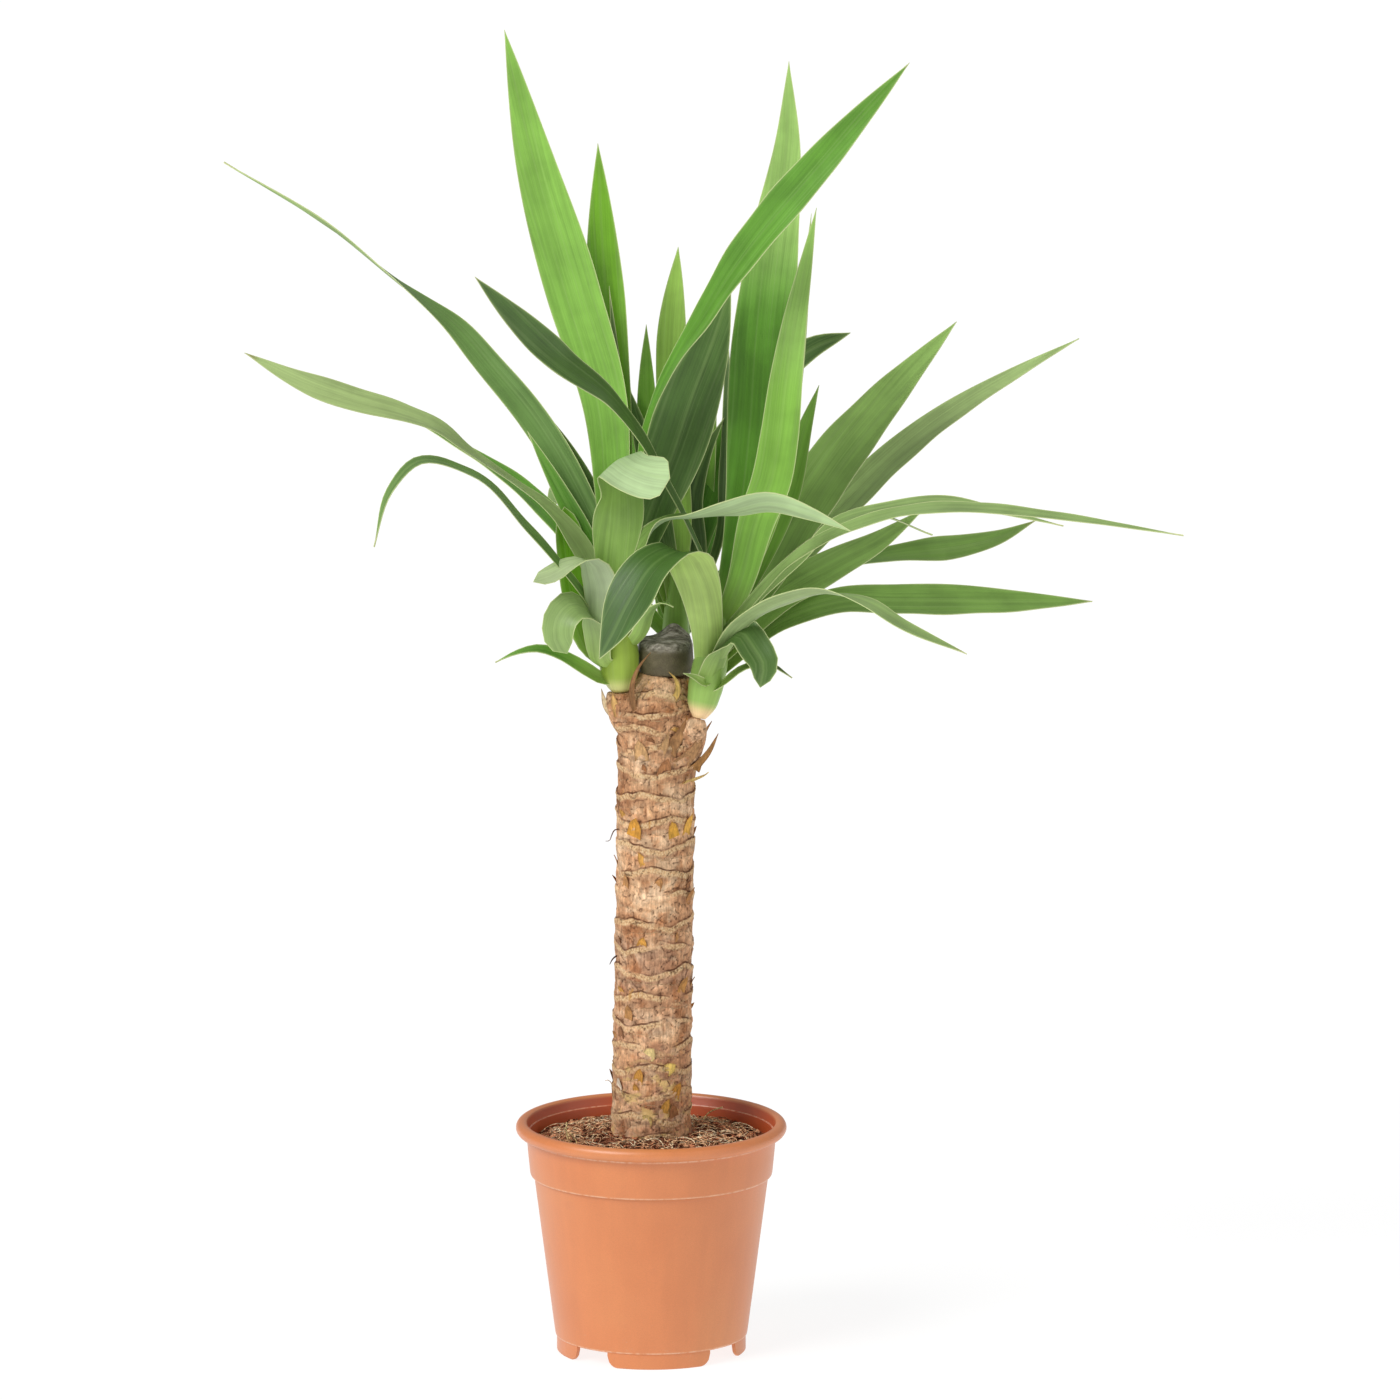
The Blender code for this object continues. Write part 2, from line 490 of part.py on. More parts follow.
def blade(name, points, widths, looks, blunt=0.0, count=BLADE_STATIONS):
    """One leaf as a closed strip, six points at each place, split into triangles alike."""
    line, side, way = blade_frames(points, looks, count)
    vertices = []
    for i in range(count):
        half = blade_width(i / (count - 1), widths, blunt) / 2
        rise = way[i] * CHANNEL * half
        edge = way[i] * EDGE_THICKNESS / 2
        middle = way[i] * MIDDLE_THICKNESS / 2
        left = line[i] - side[i] * half + rise
        right = line[i] + side[i] * half + rise
        vertices += [left + edge, line[i] + middle, right + edge,
                     right - edge, line[i] - middle, left - edge]
    faces = []
    for i in range(count - 1):
        here = 6 * i
        for a, b in ((0, 1), (1, 2), (2, 3), (4, 3), (5, 4), (5, 0)):
            faces += [[here + a, here + b, here + 6 + b], [here + a, here + 6 + b, here + 6 + a]]
    for here in (0, 6 * (count - 1)):
        faces += [[here, here + 1, here + 4, here + 5], [here + 1, here + 2, here + 3, here + 4]]
    return add_object(name, vertices, faces)


def pot_outline():
    angles = [math.radians(BEAD_ARC[0] + (BEAD_ARC[1] - BEAD_ARC[0]) * i / BEAD_STEPS)
              for i in range(BEAD_STEPS + 1)]
    bead = [(BEAD_CENTRE[0] + BEAD_RADIUS * math.cos(a), BEAD_CENTRE[1] + BEAD_RADIUS * math.sin(a))
            for a in angles]
    return POT_OUTSIDE + bead + POT_INSIDE


def pot_foot(number):
    """One foot: a curved tab under the wall, with its lower corners rounded off."""
    middle = math.radians(FOOT_TURN + 360 / FOOT_COUNT * number)
    half = math.radians(FOOT_HALF_ANGLE)
    vertices = []
    for step in range(FOOT_STEPS + 1):
        turn = -half + 2 * half * step / FOOT_STEPS
        from_end = (half - abs(turn)) * FOOT_OUTER_RADIUS
        cut = max(FOOT_CORNER - from_end, 0)
        low = FOOT_CORNER - math.sqrt(FOOT_CORNER**2 - cut**2)
        for radius, height in ((FOOT_OUTER_RADIUS, low), (FOOT_OUTER_RADIUS, FOOT_TOP),
                               (FOOT_OUTER_RADIUS - FOOT_THICKNESS, FOOT_TOP),
                               (FOOT_OUTER_RADIUS - FOOT_THICKNESS, low)):
            vertices.append((radius * math.cos(middle + turn), radius * math.sin(middle + turn),
                             height))
    faces = [[0, 1, 2, 3], [4 * FOOT_STEPS + i for i in range(4)]]
    for step in range(FOOT_STEPS):
        for corner in range(4):
            after = (corner + 1) % 4
            faces.append([4 * step + corner, 4 * step + after,
                          4 * step + 4 + after, 4 * step + 4 + corner])
    return add_object("foot", vertices, faces)


def drain_cutter(number):
    """A peg that cuts one drain hole through the floor."""
    angle = math.tau * (number + 0.5) / DRAIN_COUNT
    x, y = DRAIN_RING * math.cos(angle), DRAIN_RING * math.sin(angle)
    below = POT_OUTSIDE[0][1] - DRAIN_REACH
    above = POT_INSIDE[-1][1] + DRAIN_REACH
    return rod("drain", [(x, y, below, DRAIN_RADIUS), (x, y, above, DRAIN_RADIUS)], DRAIN_SIDES)


def cut(base, cutters):
    """Cuts each cutter out of a base, and removes it."""
    for cutter in cutters:
        hole = base.modifiers.new("cut", "BOOLEAN")
        hole.operation = "DIFFERENCE"
        hole.solver = "EXACT"
        hole.object = cutter
    apply_modifiers(base)
    for cutter in cutters:
        bpy.data.objects.remove(cutter, do_unlink=True)


def make_pot():
    pot = turned("pot", pot_outline(), POT_SEGMENTS)
    fuse(pot, [pot_foot(number) for number in range(FOOT_COUNT)])
    cut(pot, [drain_cutter(number) for number in range(DRAIN_COUNT)])
    return finish(pot, pot_plastic(), sharp_degrees=30)


def soil_outline():
    """The pot's inside moved in by the clearance, then the top surface and the hole."""
    inside = [(max(r - SOIL_CLEARANCE, 0), z + SOIL_CLEARANCE) for r, z in reversed(POT_INSIDE)]
    wall = [point for point in inside if point[1] < SOIL_TOP_AT_WALL]
    edge = between(sorted((z, r) for r, z in inside if r), SOIL_TOP_AT_WALL)
    surface = []
    for ring in range(SOIL_RINGS + 1):
        share = ring / SOIL_RINGS
        rise = SOIL_TOP_AT_WALL + (SOIL_TOP_AT_CANE - SOIL_TOP_AT_WALL) * share ** SOIL_SLOPE
        surface.append((edge + (HOLE_RADIUS - edge) * share, rise))
    return wall, surface, wall + surface + [(HOLE_RADIUS, HOLE_BOTTOM), (0, HOLE_BOTTOM)]


def make_soil():
    wall, surface, outline = soil_outline()
    draw = random.Random(SOIL_SEED)
    first = len(wall) + 1
    last = len(wall) + len(surface) - 1

    def lumps(row, step):
        return draw.uniform(-1, 1) * SOIL_ROUGHNESS if first <= row < last else 0.0

    soil = turned("soil", outline, POT_SEGMENTS, lift=lumps)
    return finish(soil, potting_soil(), sharp_degrees=60)


def scar_wave(number, angle):
    """The up and down course of one leaf scar round the cane."""
    lobe = (angle / math.tau * SCAR_LOBES + number * SCAR_TWIST) % 1.0
    return SCAR_WAVE * (4 * abs(lobe - 0.5) - 1)


def cane_rows():
    """Rows of (height, radius beyond the plain girth, scars that the row follows)."""
    rows = [(CANE_BOTTOM, 0, ()), (CANE_PLAIN_TOP, 0, ())]
    for number, height in enumerate(SCAR_HEIGHTS):
        rows.append((height, SCAR_CREST, (number,)))
        rows.append((height + SCAR_STEP, -SCAR_DROP, (number,)))
        if number + 1 < len(SCAR_HEIGHTS):
            rows.append(((height + SCAR_HEIGHTS[number + 1]) / 2, SCAR_MIDDLE,
                         (number, number + 1)))
    return rows + [(height, 0, ()) for height in NECK_HEIGHTS]


def make_cane():
    vertices = []
    rows = cane_rows()
    for height, extra, scars in rows:
        for step in range(CANE_SIDES):
            angle = math.tau * step / CANE_SIDES
            wave = sum(scar_wave(number, angle) for number in scars) / max(len(scars), 1)
            z = height + wave
            radius = between(CANE_GIRTH, z) + extra
            vertices.append((between(CANE_LEAN, z) + radius * math.cos(angle),
                             radius * math.sin(angle), z))
    top = len(rows) - 1
    faces = [list(range(CANE_SIDES)), list(range(top * CANE_SIDES, (top + 1) * CANE_SIDES))]
    for row in range(top):
        for step in range(CANE_SIDES):
            after = (step + 1) % CANE_SIDES
            faces.append([row * CANE_SIDES + step, row * CANE_SIDES + after,
                          (row + 1) * CANE_SIDES + after, (row + 1) * CANE_SIDES + step])
    cane = add_object("cane", vertices, faces)
    bosses = [shoot_boss(place) for place in SHOOTS.values()]
    bracts = [blade("bract", *bract, count=BRACT_STATIONS) for bract in BRACTS]
    fuse(cane, bosses + bracts)
    return finish(cane, cane_bark(), sharp_degrees=35)


def shoot_axis(place):
    base, top = Vector(place["base"]), Vector(place["top"])
    return base, (top - base).normalized()


def shoot_boss(place):
    """The swelling on the cane that a shoot stands on, square to the shoot at its end."""
    base, axis = shoot_axis(place)
    seat = base - axis * GAP
    neck = seat - axis * SEAT_NECK
    stations = place["boss"] + [(*neck, place["seat_radius"] + SEAT_FLARE), (*seat, place["seat_radius"])]
    return rod("boss", stations, SHOOT_SIDES)


def make_wax():
    """The wax on the cut top, with a soft lump towards the back."""
    def lump(row, step):
        radius, height = WAX_OUTLINE[row]
        angle = math.tau * step / WAX_SIDES
        away = math.hypot(radius * math.cos(angle) - WAX_BUMP[0], radius * math.sin(angle) - WAX_BUMP[1])
        on_top = height > WAX_SHOULDER
        return WAX_BUMP[2] * math.exp(-(away / WAX_BUMP_RADIUS) ** 2) if on_top else 0.0

    wax = turned("wax_cap", WAX_OUTLINE, WAX_SIDES, WAX_CENTRE, lump)
    return finish(wax, grey_wax(), sharp_degrees=50)


def make_shoot(name, place, blades, leaf_material):
    """A shoot: a short tapered core with its blades fused to it."""
    base, axis = shoot_axis(place)
    core = rod("shoot_" + name, [(*(base + axis * up), radius) for up, radius in place["girth"]],
               SHOOT_SIDES)
    leaves = []
    for title, root, points, widths, looks, *blunt in blades:
        count = SHORT_BLADE_STATIONS if len(points) <= SHORT_BLADE_POINTS else BLADE_STATIONS
        run = [tuple(base + axis * root)] + points
        leaves.append(blade(title, run, widths, looks, *blunt, count=count))
    fuse(core, leaves)
    return finish(core, leaf_material, sharp_degrees=40)


def place_on_pot_axis(pieces):
    """Hangs all pieces from one empty on the pot's axis."""
    axis = bpy.data.objects.new("pot_axis", None)
    axis.location = Vector((*POT_AXIS, 0)) * MM
    bpy.context.scene.collection.objects.link(axis)
    for piece in pieces:
        piece.parent = axis


def main():
    clear_scene()
    leaf = yucca_leaf()
    pieces = [make_pot(), make_soil(), make_cane(), make_wax(),
              make_shoot("left", SHOOTS["left"], LEFT_BLADES, leaf),
              make_shoot("right", SHOOTS["right"], RIGHT_BLADES, leaf),
              make_shoot("back", SHOOTS["back"], BACK_BLADES, leaf)]
    place_on_pot_axis(pieces)


main()
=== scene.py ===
import math
import random

import bmesh
import bpy
import numpy as np
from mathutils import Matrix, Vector, noise


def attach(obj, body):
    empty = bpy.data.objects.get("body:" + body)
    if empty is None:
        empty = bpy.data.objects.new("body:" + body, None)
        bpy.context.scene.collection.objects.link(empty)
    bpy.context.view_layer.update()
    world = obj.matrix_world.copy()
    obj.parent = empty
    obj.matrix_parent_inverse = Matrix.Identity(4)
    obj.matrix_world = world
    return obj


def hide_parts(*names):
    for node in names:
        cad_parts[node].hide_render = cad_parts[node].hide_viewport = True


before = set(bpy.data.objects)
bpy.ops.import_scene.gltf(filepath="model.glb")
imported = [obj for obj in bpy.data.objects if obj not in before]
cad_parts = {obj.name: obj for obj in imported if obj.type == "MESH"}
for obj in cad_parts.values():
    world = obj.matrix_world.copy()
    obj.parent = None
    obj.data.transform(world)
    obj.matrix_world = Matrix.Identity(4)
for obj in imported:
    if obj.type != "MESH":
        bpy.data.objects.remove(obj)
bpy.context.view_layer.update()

MM = 0.001
POT_AXIS = np.array([-29.0, 0.0, 0.0])   # in the frame
SEED = 7
SEED_SHIFT = 17.3              # keeps the noises apart
MIX_SOCKETS, MIXED_COLOUR = (0, 6, 7), 2        # share, two colours; result

# Shoots: where each stands and where its axis leads, the tints of its foot and its flesh, its radii
# up that axis, and the swelling of the cane under it, as stations (x, y, z, radius) and a top radius.
SHOOTS = {
    "left": {
        "base": (-19, -10, 424), "top": (-22, -8, 486),
        "tints": ("cdd083", "9ab447"),
        "girth": [(0, 5.4), (3, 8.2), (7, 10.2), (12, 12), (22, 12.8), (34, 11.6), (62, 5.5)],
        "boss": [(-4, -2, 396, 13.5), (-14, -7, 410, 12.8)], "seat_radius": 8.5,
    },
    "right": {
        "base": (30, -25, 410), "top": (44, -15, 476),
        "tints": ("efcd9a", "97ba5e"),
        "girth": [(0, 4), (4, 7), (9, 9.4), (20, 11), (34, 11), (68, 6)],
        "boss": [(16, -9, 380, 13), (24, -15, 394, 10.5)], "seat_radius": 4.5,
    },
    "back": {
        "base": (15, 28, 424), "top": (16, 34, 490),
        "tints": ("d9c79a", "86ad4e"),
        "girth": [(0, 7), (6, 9), (20, 9.4), (40, 8), (66, 5)],
        "boss": [(11, 8, 396, 13), (14, 20, 410, 11)], "seat_radius": 8.0,
    },
}

# The way a blade's upper side looks.
FRONT = (0, -1, 0.2)
UP = (0, -0.1, 1)
EDGE_ON = (-1, -0.2, 0.3)

# Each blade: name, tint, height of its root up the shoot, the points that its middle runs through,
# its width at the root, its full width and where that is reached, the ways its upper side looks
# from root to tip, and, for a blade with a blunt end, the share of the width that is left there.
LEFT_BLADES = [
    ("tall_light", "pale", 44, [(-24, 0, 543), (-28, 3, 600), (-49, 8, 676), (-71, 12, 752),
     (-91, 18, 838)], (16, 34, 0.58), [FRONT]),
    ("behind_tall", "fresh", 46, [(-21, 8, 574), (-26, 16, 642), (-30, 20, 699), (-33, 26, 765)],
     (12, 24, 0.66), [FRONT]),
    ("far_left", "olive", 34, [(-32, 0, 520), (-40, 3, 537), (-54, 8, 563), (-75, 18, 594),
     (-99, 29, 621), (-124, 42, 647), (-156, 58, 669), (-201, 84, 701), (-268, 110, 738)], (9, 19, 0.32),
     [FRONT, FRONT, FRONT, (0, -0.7, 0.6), (0.5, 0.1, 0.8), (0.4, 0.5, 0.7), (0.4, 0.5, 0.7)]),
    ("behind_far_left", "dark", 36, [(-29, 8, 504), (-38, 14, 545), (-50, 18, 570), (-63, 22, 592)],
     (8, 14, 0.5), [FRONT]),
    ("sliver_left", "mid", 30, [(-38, -6, 514), (-57, -4, 551), (-77, -2, 588)], (8, 13, 0.5), [FRONT]),
    ("mid_left", "mist", 30, [(-44, -18, 518), (-63, -29, 543), (-83, -42, 561), (-113, -60, 586),
     (-132, -70, 603), (-151, -80, 613), (-183, -95, 625), (-220, -111, 642), (-250, -122, 660)],
     (12, 19, 0.75), [FRONT, FRONT, (0, -0.5, 0.9), (0, -0.3, 1), (0, -0.4, 0.9), (0, -0.6, 0.8),
     (0, -0.9, 0.5), (0, -0.8, 0.6)]),
    ("drooping_left", "olive", 24, [(-43, -24, 489), (-76, -48, 534), (-113, -72, 575), (-146, -88, 584),
     (-161, -96, 568), (-171, -102, 534)], (7, 14, 0.6), [(0.7, -0.4, 0.6), (0.4, -0.5, 0.9),
     (0, -0.3, 1), (-0.9, -0.5, 0.5)]),
    ("folded_front", "fold", 40, [(-24, -26, 500), (-21, -34, 538), (-21, -42, 568), (-21, -51, 579),
     (-13, -62, 576), (-1, -71, 573), (12, -79, 573)], (7, 34, 0.55), [(-0.6, -0.8, 0.1), FRONT, FRONT,
     (0.5, -0.2, -0.9), (0, 0.7, -0.7), (0, 0.9, -0.4)], 0.8),
    ("curl_left", "silver", 26, [(-31, -24, 459), (-31, -28, 480), (-33, -32, 500), (-39, -36, 512),
     (-50, -40, 510), (-62, -44, 504), (-73, -47, 501)], (13, 23, 0.55), [(0.3, 1, 0.2), (0.3, 1, 0.3),
     (0, 0.2, 1), (-0.1, -0.6, 0.8)], 0.65),
    ("low_curl_left", "grey", 16, [(-31, -22, 443), (-35, -28, 465), (-41, -36, 481), (-49, -43, 484),
     (-56, -48, 477), (-57, -50, 466), (-52, -49, 456)], (12, 23, 0.6), [(0.4, 0.8, 0.3),
     (0.3, 0.7, 0.6), (-0.1, -0.4, 1), (-0.2, -0.9, 0.4), (-0.2, -1, 0.1)], 0.65),
    ("broad_left", "fresh", 14, [(-39, -12, 455), (-46, -12, 484), (-50, -10, 514), (-54, -8, 541)],
     (13, 20, 0.6), [(0.3, -1, 0.2)], 0.6),
    ("low_thin_left", "mid", 8, [(-31, -14, 432), (-41, -18, 439), (-51, -20, 446), (-60, -23, 451),
     (-71, -25, 454), (-83, -26, 452), (-97, -28, 446)], (8, 11, 0.3), [(0.5, -0.7, 0.6),
     (0.3, -0.6, 0.8), (0, -0.4, 1)]),
    ("reaching_right", "soft", 40, [(-7, -34, 522), (9, -48, 540), (27, -64, 545), (49, -80, 552),
     (74, -94, 560), (99, -104, 555), (124, -112, 546)], (10, 20, 0.6), [(-0.2, -1, 0.3), (0, -0.8, 0.6),
     (0, 0.2, 1), (0, 0.9, 0.4), (0, 0.9, 0.2)]),
    ("tall_crossing", "mid", 46, [(-8, -14, 548), (-4, -15, 583), (4, -20, 611), (17, -26, 639),
     (33, -32, 665), (51, -38, 696), (74, -44, 728), (99, -50, 759), (128, -56, 794), (160, -62, 831)],
     (12, 25, 0.7), [EDGE_ON, EDGE_ON, EDGE_ON, (-0.7, -0.7, 0.2), (-0.4, -1, 0.2), FRONT]),
    ("dark_middle", "dark", 44, [(-3, 0, 531), (13, 2, 572), (25, 3, 607), (38, 5, 641), (50, 8, 676)],
     (15, 39, 0.58), [FRONT]),
    ("dark_sliver", "deep", 44, [(-19, 6, 560), (-21, 9, 620), (-26, 13, 677)], (7, 8, 0.5), [FRONT]),
    ("curl_by_wax", "mid", 22, [(-7, -20, 462), (-1, -24, 477), (8, -28, 484), (14, -32, 482)],
     (8, 11, 0.5), [(-0.2, 0.9, 0.3), (-0.2, 0.8, 0.6), (0, -0.2, 1)]),
    ("back_left", "mid", 30, [(-41, 30, 498), (-81, 86, 534), (-130, 140, 556), (-146, 160, 561)],
     (9, 18, 0.45), [(0.3, -0.5, 0.8), UP]),
    ("back_short", "mid", 34, [(-30, 30, 500), (-44, 65, 528), (-56, 100, 532), (-66, 140, 505)],
     (10, 20, 0.5), [(0.2, -0.9, 0.4), UP, (0, 0.3, 1)]),
]
RIGHT_BLADES = [
    ("tall_broad", "mid", 50, [(48, -6, 481), (59, 2, 530), (66, 10, 586), (70, 18, 642), (77, 26, 704),
     (85, 34, 762), (86, 42, 814)], (16, 40, 0.46), [FRONT]),
    ("tall_front", "bright", 48, [(56, -24, 497), (66, -22, 535), (75, -20, 560), (80, -20, 588),
     (84, -16, 622), (90, -12, 662), (96, -9, 693), (103, -6, 730)], (13, 25, 0.4), [FRONT]),
    ("behind_tall_front", "fresh", 46, [(78, 4, 543), (88, 10, 605), (94, 16, 655), (100, 24, 721)],
     (9, 11, 0.5), [FRONT]),
    ("small_dark_tip", "deep", 44, [(52, 12, 500), (58, 40, 545), (80, 68, 609), (100, 78, 625),
     (125, 84, 634)], (9, 17, 0.84), [(-0.3, -0.9, 0.4)]),
    ("short_upright", "bright", 42, [(84, 14, 541), (97, 24, 588), (105, 30, 611)], (8, 16, 0.6),
     [FRONT]),
    ("broad_dark", "sage", 36, [(71, 14, 490), (93, 40, 526), (118, 64, 559), (143, 86, 586),
     (192, 122, 634)], (14, 37, 0.48), [(-0.4, -0.9, 0.3)]),
    ("behind_broad", "light", 32, [(71, 22, 474), (93, 50, 498), (124, 84, 526), (156, 112, 552),
     (187, 134, 572), (224, 151, 592), (270, 166, 615)], (12, 26, 0.5), [(-0.3, -0.6, 0.8)]),
    ("long_thin", "grey", 40, [(68, -40, 493), (92, -62, 521), (129, -86, 545), (166, -106, 558),
     (202, -122, 562), (245, -138, 561), (328, -166, 554)], (10, 16, 0.4), [(-0.3, -0.6, 0.7),
     (-0.2, -0.3, 1), (0, -0.4, 1)]),
    ("behind_long", "grey", 38, [(68, -22, 486), (93, -30, 511), (114, -36, 535), (148, -44, 547),
     (184, -52, 553), (212, -60, 549), (256, -70, 541)], (8, 13, 0.55), [(-0.3, -0.4, 0.9),
     (0, -0.4, 1)]),
    ("thin_dark", "dark", 34, [(72, -4, 492), (112, 6, 523), (139, 12, 531), (176, 22, 517)],
     (7, 9, 0.4), [UP]),
    ("under_broad", "sage", 30, [(87, 20, 482), (118, 40, 496), (143, 58, 506), (171, 75, 523)],
     (12, 25, 0.5), [(-0.3, -0.8, 0.5)]),
    ("low_back", "plain", 24, [(87, 60, 474), (148, 104, 487), (172, 121, 487), (198, 139, 487),
     (220, 152, 490), (243, 165, 498)], (10, 17, 0.75), [(-0.1, -0.5, 1), (-0.1, -0.2, 1), (-0.1, 0, 1),
     (-0.1, -0.9, 0.5), (-0.1, -0.9, 0.5)]),
    ("level_right", "plain", 22, [(81, 6, 465), (118, 18, 475), (156, 30, 473), (187, 40, 471),
     (237, 57, 467), (277, 70, 465)], (12, 27, 0.62), [(0, -0.6, 0.85)]),
    ("drooping_front", "grey", 20, [(56, -50, 474), (81, -72, 493), (111, -98, 504), (133, -114, 501),
     (154, -130, 491), (195, -158, 478)], (11, 20, 0.5), [(-0.3, 0.6, 0.7), (-0.3, 0.6, 0.7),
     (-0.2, 0.6, 0.8), (0.1, -0.2, 1), (0.1, -0.6, 0.8)]),
    ("dark_flap", "dark", 10, [(40, -34, 445), (48, -40, 463), (56, -46, 469), (65, -51, 459),
     (70, -56, 451), (68, -57, 436)], (13, 22, 0.6), [(-0.3, 0.8, 0.4), (-0.1, 0.4, 1), (0.2, -0.5, 0.9),
     (0.2, -1, 0.3), (0.1, -1, 0)], 0.55),
    ("torn_flap", "deep", 24, [(33, -34, 434), (27, -37, 438.5), (20, -37, 441)], (6, 6, 0.4),
     [(0, -0.8, 0.6)]),
    ("low_thin_right", "deep", 12, [(44, -30, 431), (59, -34, 444), (73, -38, 447), (88, -42, 439)],
     (6, 8, 0.4), [(0, -0.4, 1)]),
    ("hanging_front", "arch", 24, [(34, -40, 476), (27, -54, 507), (18, -62, 523), (4, -70, 518),
     (-12, -76, 497), (-24, -80, 474), (-32, -82, 459)], (16, 36, 0.7), [(0.1, 0.9, 0.2), (0, 0.9, 0.4),
     (-0.2, 0, 1), (-0.4, -0.8, 0.6), (-0.4, -0.9, 0.2)]),
    ("crossing_left", "dark", 44, [(38, -30, 493), (24, -32, 531), (9, -34, 561), (-7, -40, 591),
     (-24, -53, 616), (-57, -79, 648), (-85, -104, 680), (-108, -124, 708)], (9, 22, 0.72),
     [(0.8, -0.1, 0.5), (0.8, -0.1, 0.5), (0.8, -0.2, 0.5), (0.8, -0.3, 0.5), (0.2, -0.9, 0.4), FRONT]),
    ("back_right", "mid", 34, [(56, 20, 490), (72, 60, 528), (84, 105, 540), (96, 150, 515)],
     (10, 21, 0.5), [(-0.2, -0.9, 0.4), UP, (0, 0.3, 1)]),
]
BACK_BLADES = [
    ("backlit", "glow", 46, [(19, 36, 523), (13, 42, 586), (13, 48, 642), (17, 56, 694)], (11, 19, 0.72),
     [FRONT]),
    ("backlit_small", "bright", 44, [(9, 40, 535), (-2, 46, 585), (-3, 50, 616), (-3, 54, 645)],
     (8, 13, 0.66), [FRONT]),
    ("dark_leaning_left", "deep", 40, [(11, 32, 499), (2, 36, 543), (-7, 40, 580), (-19, 44, 617)],
     (9, 15, 0.5), [FRONT]),
    ("narrow_dark", "deep", 40, [(30, 34, 480), (43, 38, 511), (46, 40, 549), (48, 44, 620),
     (46, 48, 659)], (7, 10, 0.5), [(-0.8, -0.6, 0.1)]),
    ("dark_glossy", "deep", 36, [(28, 38, 498), (26, 38, 537), (34, 40, 565), (46, 44, 588)],
     (9, 14, 0.5), [FRONT]),
    ("small_bright", "bright", 34, [(30, 46, 500), (35, 50, 540), (41, 54, 590)], (8, 10, 0.5), [FRONT]),
    ("straight_back", "mid", 34, [(16, 60, 500), (18, 100, 528), (20, 140, 523), (22, 168, 500)],
     (11, 25, 0.5), [(0, -0.9, 0.4), UP, (0, 0.4, 1)]),
    ("back_by_left", "mid", 30, [(0, 55, 495), (-18, 95, 515), (-34, 133, 516), (-45, 167, 496)],
     (10, 22, 0.5), [(0.1, -0.8, 0.5), UP, (0, 0.3, 1)]),
    ("back_by_right", "mid", 30, [(30, 55, 495), (46, 95, 520), (60, 133, 521), (71, 167, 501)],
     (10, 22, 0.5), [(-0.1, -0.8, 0.5), UP, (0, 0.3, 1)]),
    ("low_middle", "mid", 18, [(12, 50, 455), (10, 95, 470), (8, 140, 455), (6, 166, 428)],
     (10, 20, 0.5), [(0, -0.7, 0.7), UP, (0, 0.5, 0.9)]),
    ("low_right", "mid", 20, [(28, 50, 460), (52, 85, 480), (78, 120, 478), (100, 160, 448)],
     (10, 19, 0.5), [(-0.2, -0.6, 0.7), UP, (0.1, 0.4, 1)]),
    ("low_left", "mid", 20, [(-2, 50, 460), (-20, 85, 480), (-38, 120, 478), (-50, 155, 458)],
     (10, 18, 0.5), [(0.2, -0.6, 0.7), UP, (-0.1, 0.4, 1)]),
    ("upright_middle", "mid", 42, [(20, 44, 540), (30, 60, 600), (36, 74, 640)], (11, 20, 0.5), [FRONT]),
    ("upright_right", "mid", 44, [(40, 50, 540), (61, 74, 600), (68, 96, 660), (73, 118, 710)],
     (12, 22, 0.5), [FRONT]),
    ("upright_left", "mid", 42, [(-8, 46, 530), (-22, 62, 600), (-28, 78, 660), (-32, 92, 700)],
     (11, 20, 0.5), [FRONT]),
]

# Fine blades: cross-section, edge thickness and the way the leaf closes round the shoot at its root.
STATION_STEP = 5.0             # along a blade
FEWEST_STATIONS, MOST_STATIONS = 14, 90
ACROSS = [-1, -0.9, -0.62, -0.3, 0, 0.3, 0.62, 0.9, 1]
EDGE_THICKNESS = 0.45
MIDDLE_THICKNESS = 1.2
CHANNEL = 0.16                 # how far the edges rise, as a share of the half width
ROOT_CHANNEL = 0.45            # added at the root
ROOT_REACH = 40.0              # length over which that fades
RIPPLE = 0.035                 # of the half width, along the margins
RIPPLE_LENGTH = 46.0
TIP_WIDTH = 1.4
TAPER = 1.7
BLUNT_TAPER = 2.6
ROUND_END = 0.4                # rounding of a blunt blade's end, as a share of its length
CURVE_SAMPLES = 40
TIP_END = 0.3                  # width left at the very tip
THINNING = 0.7
RIPPLE_START = 60
BOWL_ROUNDING, BOWL_LOW, BOWL_RISE = 0.03, 0.17, 0.845     # a soft bottom for the channel
CORE_ROWS, CORE_SIDES, CORE_STREAKS, CORE_SEED = 26, 32, 4, 90
CORE_GREENS = (3, 11)          # heights between which a shoot's foot turns green
LEAF_SHARP = 55
SEAT_GAP = 0.3                 # between a shoot and its swelling

